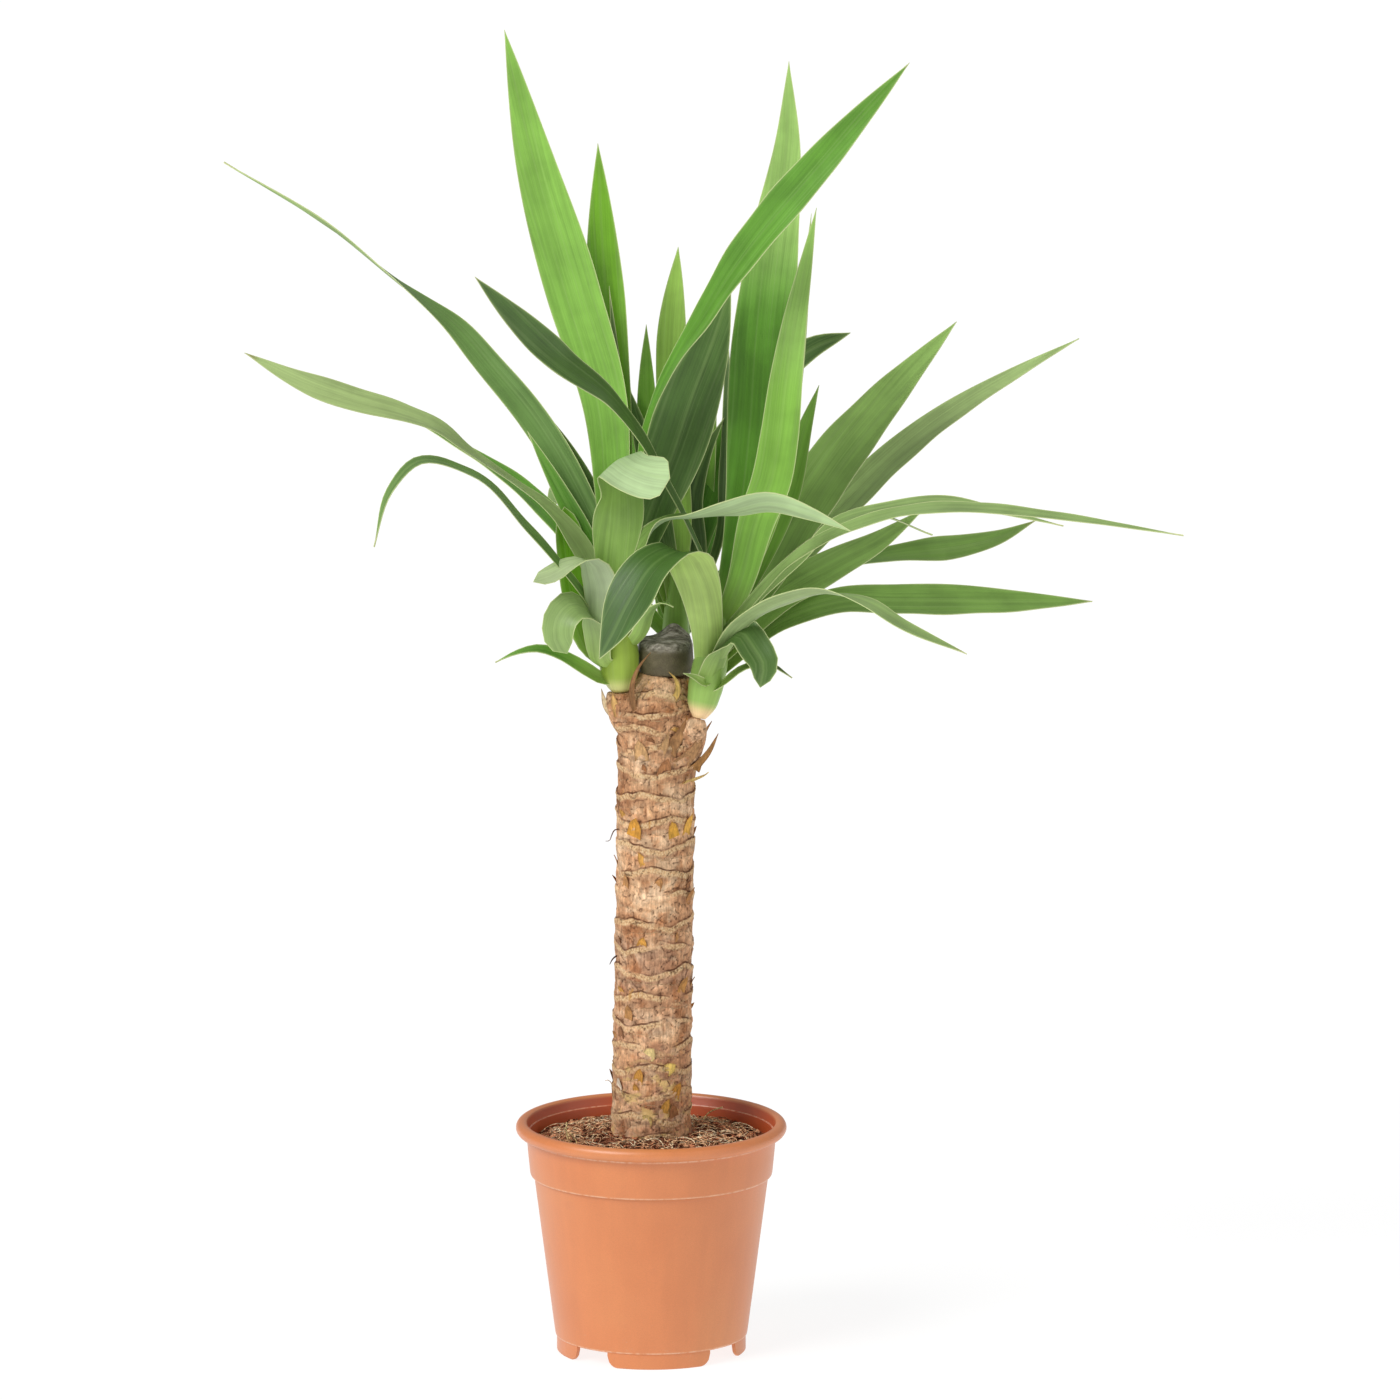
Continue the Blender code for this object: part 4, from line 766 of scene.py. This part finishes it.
def make_cane():
    heights = np.append(np.arange(CANE_FOOT, CANE_TOP - CANE_STEP / 2, CANE_STEP), CANE_TOP)
    trunk = [(between(CANE_LEAN, z), 0.0, z, between(CANE_GIRTH, z)) for z in heights]
    rough = Mesh()
    rough.add(rod_points(trunk, CANE_SIDES), capped(len(trunk), CANE_SIDES))
    for place in SHOOTS.values():
        base, axis = shoot_axis(place)
        seat = base - axis * SEAT_GAP
        radius = place["seat_radius"]
        boss = place["boss"] + [(*(seat - axis * BOSS_SINK), radius + BOSS_LIP), (*seat, radius)]
        rough.add(rod_points(boss, BOSS_SIDES), capped(len(boss), BOSS_SIDES))
    points, normals, faces = remeshed(rough)
    shaped, values = bark_shape(points, normals)
    mesh = Mesh()
    mesh.add(shaped, faces, **values)
    mesh.build("cane_looks", bark_material(), ["cane"])


def bark_material():
    g = Graph("cane_bark_looks")
    place, height = g.place(), g.height()
    near, torn, trunk, crack_and_shade = (g.value(name) for name in ("near_mm", "torn", "on_trunk", "crack_and_shade"))
    patches = g.noise(place, 0.045, 4.0)
    fibres = g.noise(g.place((1, 1, 0.1)), 0.8, 3.0, 0.6)
    flecks = g.noise(place, 0.35, 4.0, 0.6)
    colour = g.ramp(patches, [(0.32, "bb8864"), (0.45, "d8a47a"), (0.56, "e6b88e"), (0.68, "f1cca6")])
    pale = g.fade(g.noise(g.place((1, 1, 1.5)), 0.06, 4.0, 0.6), 0.52, 0.62)
    colour = g.over(colour, "ebd0ac", pale, 0.45)
    colour = g.over(colour, "b3805a", g.fade(height, 335.0, 375.0), g.fade(patches, 0.36, 0.5, 0.6, 0.25))
    mottling = g.fade(g.noise(place, 0.06, 3.0), 0.42, 0.58)
    colour = g.over(colour, "a87460", g.fade(height, 260.0, 190.0), mottling, 0.4)
    belt = g.times(g.fade(height, 224.0, 240.0), g.fade(height, 278.0, 262.0))
    colour = g.over(colour, "9b6c56", belt, g.fade(mottling, 1.0, 0.0, 0.25, 0.6))
    rust = g.fade(g.noise(g.place((1, 1, 0.5)), 0.09, 4.0), 0.54, 0.66)
    colour = g.over(colour, "a5663a", rust, 0.6)
    colour = g.brighter(colour, g.fade(fibres, 0.3, 0.7, 0.78, 1.18))
    colour = g.brighter(colour, g.fade(flecks, 0.3, 0.7, 0.76, 1.18))
    colour = g.brighter(colour, g.fade(g.noise(place, 0.2, 4.0, 0.65), 0.36, 0.6, 0.8, 1.1))
    ridge = g.times(g.fade(near, -4.6, -2.8), g.fade(near, 0.1, -0.5), trunk)
    colour = g.over(colour, "ffd6a0", ridge, 0.75)
    dots = g.cells(g.place((1, 1, 0.8)), 0.8)
    # On the band below each scar, dark gaps between the pale torn fibres: painted shade.
    colour = g.over(colour, "85583c", g.fade(dots, 0.58, 0.85), ridge, 0.6)
    colour = g.over(colour, "ffe2b2", g.fade(dots, 0.5, 0.25), ridge, 0.9)
    golden = g.fade(g.noise(g.place((1, 1, 0.2)), 0.22, 3.0), 0.62, 0.7)
    colour = g.over(colour, "cf9640", golden, g.fade(g.noise(place, 0.05, 2.0), 0.52, 0.6), 0.6)
    stain = g.fade(g.noise(g.place((1, 1, 2.0)), 0.07, 4.0, 0.6), 0.52, 0.64)
    colour = g.over(colour, "f0cf86", stain, g.fade(height, 200.0, 180.0, 0.0, 0.7))
    # A dark line just above each scar: partly the scar's own dark colour, partly painted shade under its
    # step.
    line = g.fade(g.math("ABSOLUTE", g.math("SUBTRACT", near, 0.45)), 0.68, 0.2)
    uneven = g.fade(g.noise(place, 0.12, 3.0), 0.42, 0.58, 0.35, 0.9)
    colour = g.over(colour, "4a2d1f", line, uneven, trunk)
    colour = g.over(colour, "74492f", g.fade(near, 4.5, 0.8), trunk, 0.3)
    # Dark creases: partly dark cracks in the bark, partly painted shade in them.
    colour = g.over(colour, "4c2f20", crack_and_shade, 0.8)
    colour = g.over(colour, "e0c8a2", g.fade(torn, 0.15, 0.3), 0.35)
    bumps = g.plus(g.times(fibres, 0.8), g.times(flecks, 0.6))
    bumps = g.bump(g.plus(bumps, g.times(dots, ridge, -0.5)), 1.1, 0.95)
    return g.done(colour, g.fade(flecks, 0.3, 0.7, 0.72, 0.9), 0.15, Normal=bumps)


def on_cane(angle_degrees, height, off):
    angle = math.radians(angle_degrees)
    radius = between(CANE_GIRTH, height) + off
    return (between(CANE_LEAN, height) + radius * math.cos(angle), radius * math.sin(angle), height)


def add_flake(mesh, flake, seed):
    angle, height, tip_angle, tip_height, off, width, colour = flake
    points = [on_cane(angle + (tip_angle - angle) * s, height + (tip_height - height) * s,
                      FLAKE_SINK * (s * s - 1) + off * s * s + FLAKE_ARCH * s) for s in (0, 0.33, 0.66, 1)]
    look = math.radians((angle + tip_angle) / 2)
    add_blade(mesh, points, (width, width * FLAKE_WAIST, FLAKE_WIDEST),
              [(math.cos(look), math.sin(look), 0.2)], colours=(colour, colour), seed=seed, **FLAKE_FORM)


def more_flakes():
    """Small flakes at random places along the scars."""
    draw = random.Random(SEED)
    for _ in range(MORE_FLAKES):
        scar = draw.choice(SCAR_HEIGHTS[1:-1])
        angle = draw.uniform(*(BACK_ANGLES if draw.random() < BACK_SHARE else FRONT_ANGLES))
        lines = scar_lines(np.array([math.radians(angle)]))[0]
        height = min(lines, key=lambda line: abs(line - scar)) + 1.0
        yield (angle, height, angle + draw.uniform(*FLAKE_TURNS), height + draw.uniform(*FLAKE_RISES),
               draw.uniform(*FLAKE_OFFS), draw.uniform(*FLAKE_WIDTHS), draw.choice(FLAKE_COLOURS))


def add_strand(mesh, points, count, sides, radius, taper, colour, **values):
    """A strand through the points, thinner by a share of its radius at its end."""
    radii = radius * (1 - taper * np.linspace(0, 1, count) ** 2)
    rows = rod_points(np.column_stack([smooth_line(points, count), radii]), sides)
    mesh.add(rows, capped(count, sides), leaf_colour=linear(colour), **values)


def make_bracts():
    """Dry bracts, torn bark and threads that stand off the cane."""
    mesh = Mesh()
    for number, (points, widths, looks, colour) in enumerate(BRACTS):
        add_blade(mesh, points, widths, looks, colours=(colour, colour), seed=number, **BRACT_FORM)
    for number, flake in enumerate(FLAKES + list(more_flakes())):
        add_flake(mesh, flake, number)
    for points, radius, colour in THREADS:
        count = max(int(run_along(points)[-1] / THREAD_STEP), FEWEST_POINTS)
        add_strand(mesh, points, count, THREAD_SIDES, radius, THREAD_TAPER, colour, across_mm=0.0,
                   along_mm=0.0, edge_mm=3.0, under=0.0, blade=0.0)
    mesh.build("dry_bracts", dry_material(), [], BRACT_SHARP)


def dry_material():
    g = Graph("dry_bract_looks")
    grains = g.noise(g.place((1, 1, 0.2)), 0.9, 3.0, 0.6)
    spots = g.noise(g.place(), 0.25, 4.0)
    colour = g.brighter(g.value("leaf_colour", "Color"), g.fade(grains, 0.3, 0.7, 0.72, 1.2))
    colour = g.brighter(colour, g.fade(spots, 0.35, 0.65, 0.8, 1.12))
    colour = g.over(colour, "7a5030", g.fade(g.value("edge_mm"), 0.9, 0.3), 0.35)
    return g.done(colour, 0.75, Normal=g.bump(grains, 0.5, 0.7))


def make_wax():
    outline = np.array(WAX_OUTLINE, float)
    run = run_along(outline)
    rows = turned_points(spread(np.linspace(0, run[-1], WAX_ROWS), run, outline), WAX_SEGMENTS)
    away = np.hypot(rows[:, :, 0] - WAX_BUMP[0], rows[:, :, 1] - WAX_BUMP[1])
    radii = np.hypot(rows[:, :, 0], rows[:, :, 1])
    top = smoothstep(rows[:, :, 2], *WAX_TOP_FADE)
    rows[:, :, 2] += WAX_BUMP[2] * np.exp(-(away / WAX_BUMP_RADIUS) ** 2) * top
    flat = rows.reshape(-1, 3)
    ridges = grain(flat, *WAX_RIDGES).reshape(away.shape)
    rows[:, :, 2] += ridges * top * smoothstep(radii, 0, WAX_RIDGES_FROM)
    lumps = grain(rows.reshape(-1, 3), *WAX_LUMPS).reshape(away.shape)
    rows[:, :, :2] *= (1 + WAX_UNEVEN * lumps * (1 - top))[:, :, None]
    mesh = Mesh()
    mesh.add(rows + (*WAX_CENTRE, 0), capped(WAX_ROWS, WAX_SEGMENTS), top=top)
    mesh.build("wax_cap_looks", wax_material(), ["wax_cap"])


def wax_material():
    g = Graph("grey_wax_looks")
    place = g.place()
    clouds = g.noise(place, 0.12, 4.0)
    side = g.ramp(clouds, [(0.3, "544c39"), (0.5, "625a43"), (0.7, "746a52")])
    streaks = g.noise(g.place((0.35, 1.3, 1)), 0.35, 4.0, 0.65)
    cut_top = g.ramp(streaks, [(0.35, "4f4a3e"), (0.48, "7d776a"), (0.6, "a39c90"), (0.72, "bdb7ac")])
    specks = g.noise(place, 1.1, 3.0)
    colour = g.brighter(g.over(side, cut_top, g.value("top")), g.fade(specks, 0.3, 0.7, 0.88, 1.1))
    gloss = g.fade(clouds, 0.3, 0.7, 0.45, 0.65)
    return g.done(colour, gloss, Normal=g.bump(g.plus(specks, streaks), 0.5, 0.5))


# Soil: the surface under its crumbs, then crumbs and fibres on it.
SOIL_TOP_AT_WALL, SOIL_TOP_AT_CANE, SOIL_SLOPE = 132.0, 139.5, 0.7
SOIL_EDGE, HOLE_RADIUS, HOLE_BOTTOM = 75.4, 25.4, 51.7
SOIL_UNDER = [(0, 12.4), (56.1, 12.4), (58.6, 14.4), (71.4, 113.0), (73.8, 114.8), (75.3, 131.4)]
SOIL_SEGMENTS, SOIL_RINGS = 200, 60
# Noises: strength, feature sizes and seed.
SOIL_LUMPS = [(1.5, (13, 13, 13), 11), (1.1, (4.5, 4.5, 4.5), 12), (0.6, (2.0, 2.0, 2.0), 13)]
STREWN_EDGE = SOIL_EDGE - 1.5  # no crumb or fibre lies beyond it
CRUMBS = 5600
FINE_CRUMBS, COARSE_CRUMBS, FINE_SHARE = (0.4, 1.1), (1.1, 2.2), 0.85     # radii
CRUMB_SHAPE, CRUMB_JITTER, CRUMB_LIFT = (0.8, 0.8, 0.6), (0.6, 1.25), 0.25
CRUMB_TILTS, CRUMB_STRETCHES = (-0.5, 0.5), (0, 1.1)
CRUMB_COLOURS = ["3a1c11", "55301f", "8c543a", "a5674a", "703f2a", "b87a58", "2e160d", "7e4a34",
                 "d09a74"]
FIBRES, FIBRE_POINTS, FIBRE_SIDES = 620, 9, 4
FIBRE_RING = HOLE_RADIUS + 4, SOIL_EDGE - 6     # where their middles lie
FIBRE_LENGTHS, FIBRE_LIFTS, FIBRE_RADII = (6, 22), (0.8, 3.2), (0.14, 0.3)
FIBRE_COLOURS = ["e0b68c", "efcfa6", "c08a66", "d8a67c", "9a644a", "f8e2be"]
UPRIGHT_FIBRES = [
    [(-49, -22, 133), (-51, -25, 141), (-54, -27, 148)], [(-50, -20, 133), (-53, -21, 142), (-53, -20, 150)],
    [(-46, -24, 134), (-47, -28, 140), (-51, -31, 146)], [(-30, -46, 133), (-38, -50, 138), (-48, -50, 139)],
    [(42, -30, 134), (50, -34, 139), (58, -33, 137)], [(30, 38, 134), (36, 42, 142), (45, 41, 146)],
]
UPRIGHT_RADIUS, UPRIGHT_COLOUR = 0.4, "e3cf95"


def soil_height(radius):
    share = np.clip((SOIL_EDGE - radius) / (SOIL_EDGE - HOLE_RADIUS), 0, 1)
    return SOIL_TOP_AT_WALL + (SOIL_TOP_AT_CANE - SOIL_TOP_AT_WALL) * share ** SOIL_SLOPE


def make_soil():
    radii = np.linspace(SOIL_EDGE, HOLE_RADIUS, SOIL_RINGS)
    hole = [(HOLE_RADIUS, HOLE_BOTTOM), (0, HOLE_BOTTOM)]
    outline = SOIL_UNDER + list(zip(radii, soil_height(radii))) + hole
    rows = turned_points(outline, SOIL_SEGMENTS)
    first = len(SOIL_UNDER)
    top = rows[first + 1:first + SOIL_RINGS - 1]
    top[:, :, 2] += layered(top.reshape(-1, 3), SOIL_LUMPS).reshape(top.shape[:2])
    mesh = Mesh()
    mesh.add(rows, capped(len(outline), SOIL_SEGMENTS), leaf_colour=linear("6a3f2b"))
    mesh.build("soil_looks", soil_material(), ["soil"])


def crumb_shape():
    shell = bmesh.new()
    bmesh.ops.create_icosphere(shell, subdivisions=1, radius=1.0)
    points = np.array([v.co for v in shell.verts])
    faces = [[v.index for v in face.verts] for face in shell.faces]
    shell.free()
    return points, faces


def add_crumb(mesh, draw, shape, faces):
    radius = math.sqrt(draw.uniform(HOLE_RADIUS**2, STREWN_EDGE**2))
    angle = draw.uniform(0, math.tau)
    size = draw.uniform(*(FINE_CRUMBS if draw.random() < FINE_SHARE else COARSE_CRUMBS))
    place = np.array([radius * math.cos(angle), radius * math.sin(angle), soil_height(radius)])
    place[2] += layered(place[None], SOIL_LUMPS)[0] + CRUMB_LIFT * size
    jitter = np.array([[draw.uniform(*CRUMB_JITTER) for _ in range(3)] for _ in shape])
    turn = draw.uniform(0, math.tau)
    long = np.array([math.cos(turn), math.sin(turn), draw.uniform(*CRUMB_TILTS)])
    shred = shape * jitter * CRUMB_SHAPE
    shred += long * (shred @ long)[:, None] * draw.uniform(*CRUMB_STRETCHES)
    mesh.add(place + shred * size, faces, leaf_colour=linear(draw.choice(CRUMB_COLOURS)))


def make_crumbs():
    """Crumbs and fibres strewn over the soil."""
    draw = random.Random(SEED)
    shape, faces = crumb_shape()
    mesh = Mesh()
    for _ in range(CRUMBS):
        add_crumb(mesh, draw, shape, faces)
    for _ in range(FIBRES):
        add_strand(mesh, fibre_path(draw), FIBRE_POINTS, FIBRE_SIDES, draw.uniform(*FIBRE_RADII), 0,
                   draw.choice(FIBRE_COLOURS))
    for points in UPRIGHT_FIBRES:
        add_strand(mesh, points, FIBRE_POINTS, FIBRE_SIDES, UPRIGHT_RADIUS, 0, UPRIGHT_COLOUR)
    mesh.build("soil_crumbs", soil_material(), [])


def fibre_path(draw):
    """A short bent fibre that starts and ends near the soil's surface."""
    radius = draw.uniform(*FIBRE_RING)
    angle, turn = draw.uniform(0, math.tau), draw.uniform(0, math.tau)
    length = draw.uniform(*FIBRE_LENGTHS)
    points = []
    for share in (0, 0.35, 0.7, 1):
        x = radius * math.cos(angle) + length * (share - 0.5) * math.cos(turn + share)
        y = radius * math.sin(angle) + length * (share - 0.5) * math.sin(turn + share)
        far = min(math.hypot(x, y), STREWN_EDGE)
        scale = far / math.hypot(x, y)
        lift = draw.uniform(*FIBRE_LIFTS) if 0 < share < 1 else FIBRE_LIFTS[0]
        points.append((x * scale, y * scale, soil_height(far) + lift))
    return points


def soil_material():
    g = Graph("potting_soil_looks")
    grains = g.noise(g.place(), 0.55, 5.0, 0.7)
    spots = g.cells(g.place(), 0.5)
    colour = g.brighter(g.value("leaf_colour", "Color"), g.fade(grains, 0.32, 0.68, 0.22, 2.1))
    colour = g.over(colour, "8a5640", g.fade(g.noise(g.place(), 0.16, 3.0), 0.55, 0.66), 0.3)
    return g.done(colour, 0.95, 0.1, Normal=g.bump(g.plus(grains, spots), 1.2, 0.9))


# Pot: its wall turned from an outline, with feet and drain holes.
POT_SEGMENTS = 192
POT_OUTSIDE = [(0, 9.6), (54, 9.6), (58.8, 9.6), (59.6, 9.7), (60.2, 10.3), (60.4, 11.2), (60.7, 13),
               (67.1, 62), (73.5, 111.3), (73.8, 112.1), (74.4, 112.5), (75.2, 112.7), (75.8, 113.2),
               (76.1, 114.2), (77.4, 127), (78.2, 136.4), (78.5, 137.5)]
FLASH_AND_HIGHLIGHT_LINES = [(60.2, 10.3), (75.8, 113.2), (78.5, 137.5), (77.1, 139.9)]   # where pale lines run along the edges: painted highlights, partly thin moulding flash
POT_INSIDE = [(77.6, 144.6), (77.35, 140.3), (77.1, 139.9), (76.3, 139.6), (76.1, 138.8),
              (74.2, 114.4), (71.8, 112.6), (65.4, 63), (59, 14), (56.5, 12), (0, 12)]
POT_SHARP = 32
BEAD_CENTRE, BEAD_RADIUS, BEAD_ARC, BEAD_STEPS = (80.8, 142.6), 4.2, (-115, 125), 20
FOOT_COUNT, FOOT_TURN, FOOT_HALF_ANGLE = 4, -84.5, 33.0
FOOT_RADIUS, FOOT_THICKNESS, FOOT_TOP, FOOT_CORNER, FOOT_STEPS = 59.4, 2.4, 11.0, 7.0, 60
FOOT_EDGE = 0.5                # the slant along its lower edges
DRAIN_COUNT, DRAIN_RADIUS, DRAIN_RING, DRAIN_SIDES = 6, 4.5, 38.0, 32
DRAIN_FROM, DRAIN_TO = 6, 15   # through the floor


def pot_outline():
    bead = [(BEAD_CENTRE[0] + BEAD_RADIUS * math.cos(a), BEAD_CENTRE[1] + BEAD_RADIUS * math.sin(a))
            for a in np.linspace(*np.radians(BEAD_ARC), BEAD_STEPS + 1)]
    return POT_OUTSIDE + bead + POT_INSIDE


def add_foot(mesh, number):
    """One foot: a curved tab under the wall, with its lower corners rounded off."""
    middle = math.radians(FOOT_TURN + 360 / FOOT_COUNT * number)
    half = math.radians(FOOT_HALF_ANGLE)
    inner = FOOT_RADIUS - FOOT_THICKNESS
    rows = []
    for turn in np.linspace(-half, half, FOOT_STEPS + 1):
        depth = max(FOOT_CORNER - (half - abs(turn)) * FOOT_RADIUS, 0)
        low = FOOT_CORNER - math.sqrt(FOOT_CORNER**2 - depth**2)
        ring = [(FOOT_RADIUS - FOOT_EDGE, low), (FOOT_RADIUS, low + FOOT_EDGE), (FOOT_RADIUS, FOOT_TOP),
                (inner, FOOT_TOP), (inner, low + FOOT_EDGE), (inner + FOOT_EDGE, low)]
        rows.append([(r * math.cos(middle + turn), r * math.sin(middle + turn), z) for r, z in ring])
    mesh.add(rows, capped(len(rows), len(ring)), inside=0.0, flash=0.0)


def make_pot():
    mesh = Mesh()
    outline = pot_outline()
    inside = [number >= len(outline) - len(POT_INSIDE) for number in range(len(outline))]
    flash = [point in FLASH_AND_HIGHLIGHT_LINES for point in outline]
    mesh.add(turned_points(outline, POT_SEGMENTS), capped(len(outline), POT_SEGMENTS),
             inside=np.repeat(inside, POT_SEGMENTS), flash=np.repeat(flash, POT_SEGMENTS))
    for number in range(FOOT_COUNT):
        add_foot(mesh, number)
    cut_drains(mesh.build("pot_looks", pot_material(), ["pot"], POT_SHARP))


def cut_drains(pot):
    for number in range(DRAIN_COUNT):
        angle = math.tau * (number + 0.5) / DRAIN_COUNT
        x, y = DRAIN_RING * math.cos(angle), DRAIN_RING * math.sin(angle)
        rows = rod_points([(x, y, z, DRAIN_RADIUS) for z in (DRAIN_FROM, DRAIN_TO)], DRAIN_SIDES)
        peg = put_in_scene("peg", new_mesh("peg", (rows + POT_AXIS) * MM, capped(2, DRAIN_SIDES)))
        hole = pot.modifiers.new("hole", "BOOLEAN")
        hole.operation, hole.solver, hole.object = "DIFFERENCE", "EXACT", peg
        made = applied(pot)
        pot.modifiers.clear()
        pot.data = made
        bpy.data.objects.remove(peg, do_unlink=True)


def pot_material():
    g = Graph("pot_plastic_looks")
    place = g.place()
    clouds = g.noise(place, 0.012, 3.0)
    flow = g.noise(g.place((1, 1, 0.08)), 0.12, 3.0)
    grains = g.noise(place, 1.6, 2.0)
    colour = g.ramp(clouds, [(0.3, "d07942"), (0.5, "d68049"), (0.7, "d98850")])
    colour = g.brighter(colour, g.fade(flow, 0.3, 0.7, 0.98, 1.02))
    colour = g.brighter(colour, g.fade(grains, 0.3, 0.7, 0.96, 1.04))
    scuffs = g.fade(g.noise(g.place((1, 1, 2.2)), 0.16, 5.0, 0.7), 0.62, 0.74)
    colour = g.over(colour, "c9a890", scuffs, g.fade(g.height(), 40.0, 8.0), 0.35)
    colour = g.over(colour, "b9694a", g.fade(g.noise(place, 0.05, 4.0), 0.6, 0.75), 0.12)
    # The inner wall is a darker, redder copy of the plastic: painted shade, partly the colour the plastic
    # shows there.
    colour = g.over(colour, "c25024", g.value("inside"), 0.9)
    # Pale lines along the edges: painted highlights, partly thin moulding flash.
    broken = g.fade(g.noise(g.place((1, 1, 0.5)), 0.3, 4.0), 0.3, 0.6, 0.1, 0.8)
    colour = g.over(colour, "efc6a4", g.value("flash"), broken)
    bumps = g.bump(g.plus(grains, g.times(flow, 0.8)), 0.12, 0.35)
    return g.done(colour, g.fade(clouds, 0.3, 0.7, 0.32, 0.42), 0.8, Normal=bumps)


# Studio: camera far off at the photo's angle, even light from all round, a soft key from the left.
CAMERA_TARGET = Vector((0.0016, 0, 0.4163))
CAMERA_DISTANCE = 12.0
CAMERA_ELEVATION = 11.7
FRAME_WIDTH = 0.875            # metres across the picture at the target
SENSOR_WIDTH = 36
KEY = (2.0, 30, (-47, 40))     # strength, size in degrees, direction: sideways and height
FILL = (0.35, 60, (60, 25))
WORLD_STRENGTH = 0.4
FLOOR_GLOW = 0.84              # the floor's own light, which keeps the shadow on it faint
FLOOR_HALF = 30.0


def away(sideways, height):
    """The direction from the part to a place at these angles from its front."""
    sideways, height = math.radians(sideways), math.radians(height)
    return Vector((math.sin(sideways) * math.cos(height), -math.cos(sideways) * math.cos(height),
                   math.sin(height)))


def make_camera():
    data = bpy.data.cameras.new("camera")
    data.sensor_width = SENSOR_WIDTH
    data.lens = SENSOR_WIDTH * CAMERA_DISTANCE / FRAME_WIDTH
    data.clip_end = 200
    camera = put_in_scene("camera", data)
    back = away(0, CAMERA_ELEVATION)
    camera.location = CAMERA_TARGET + back * CAMERA_DISTANCE
    camera.rotation_euler = (-back).to_track_quat("-Z", "Y").to_euler()
    bpy.context.scene.camera = camera


def make_sun(name, strength, size, direction):
    data = bpy.data.lights.new(name, "SUN")
    data.energy = strength
    data.angle = math.radians(size)
    put_in_scene(name, data).rotation_euler = away(*direction).to_track_quat("Z", "Y").to_euler()


def make_studio():
    scene = bpy.context.scene
    scene.view_settings.view_transform = "Standard"
    scene.world = bpy.data.worlds.new("studio")
    scene.world.use_nodes = True
    sky = scene.world.node_tree.nodes["Background"].inputs
    sky["Color"].default_value = (1, 1, 1, 1)
    sky["Strength"].default_value = WORLD_STRENGTH
    make_sun("key", *KEY)
    make_sun("fill", *FILL)
    corners = [(x * FLOOR_HALF, y * FLOOR_HALF, 0) for x, y in ((-1, -1), (1, -1), (1, 1), (-1, 1))]
    floor = put_in_scene("floor", new_mesh("floor", corners, [(0, 1, 2, 3)]))
    glow = {"Emission Color": "ffffff", "Emission Strength": FLOOR_GLOW}
    floor.data.materials.append(Graph("pale_floor").done("808080", 0.9, **glow))


make_camera()
make_studio()
make_pot()
make_soil()
make_crumbs()
make_cane()
make_bracts()
make_wax()
leaf = leaf_material()
make_shoot("left", LEFT_BLADES, leaf)
make_shoot("right", RIGHT_BLADES, leaf)
make_shoot("back", BACK_BLADES, leaf)
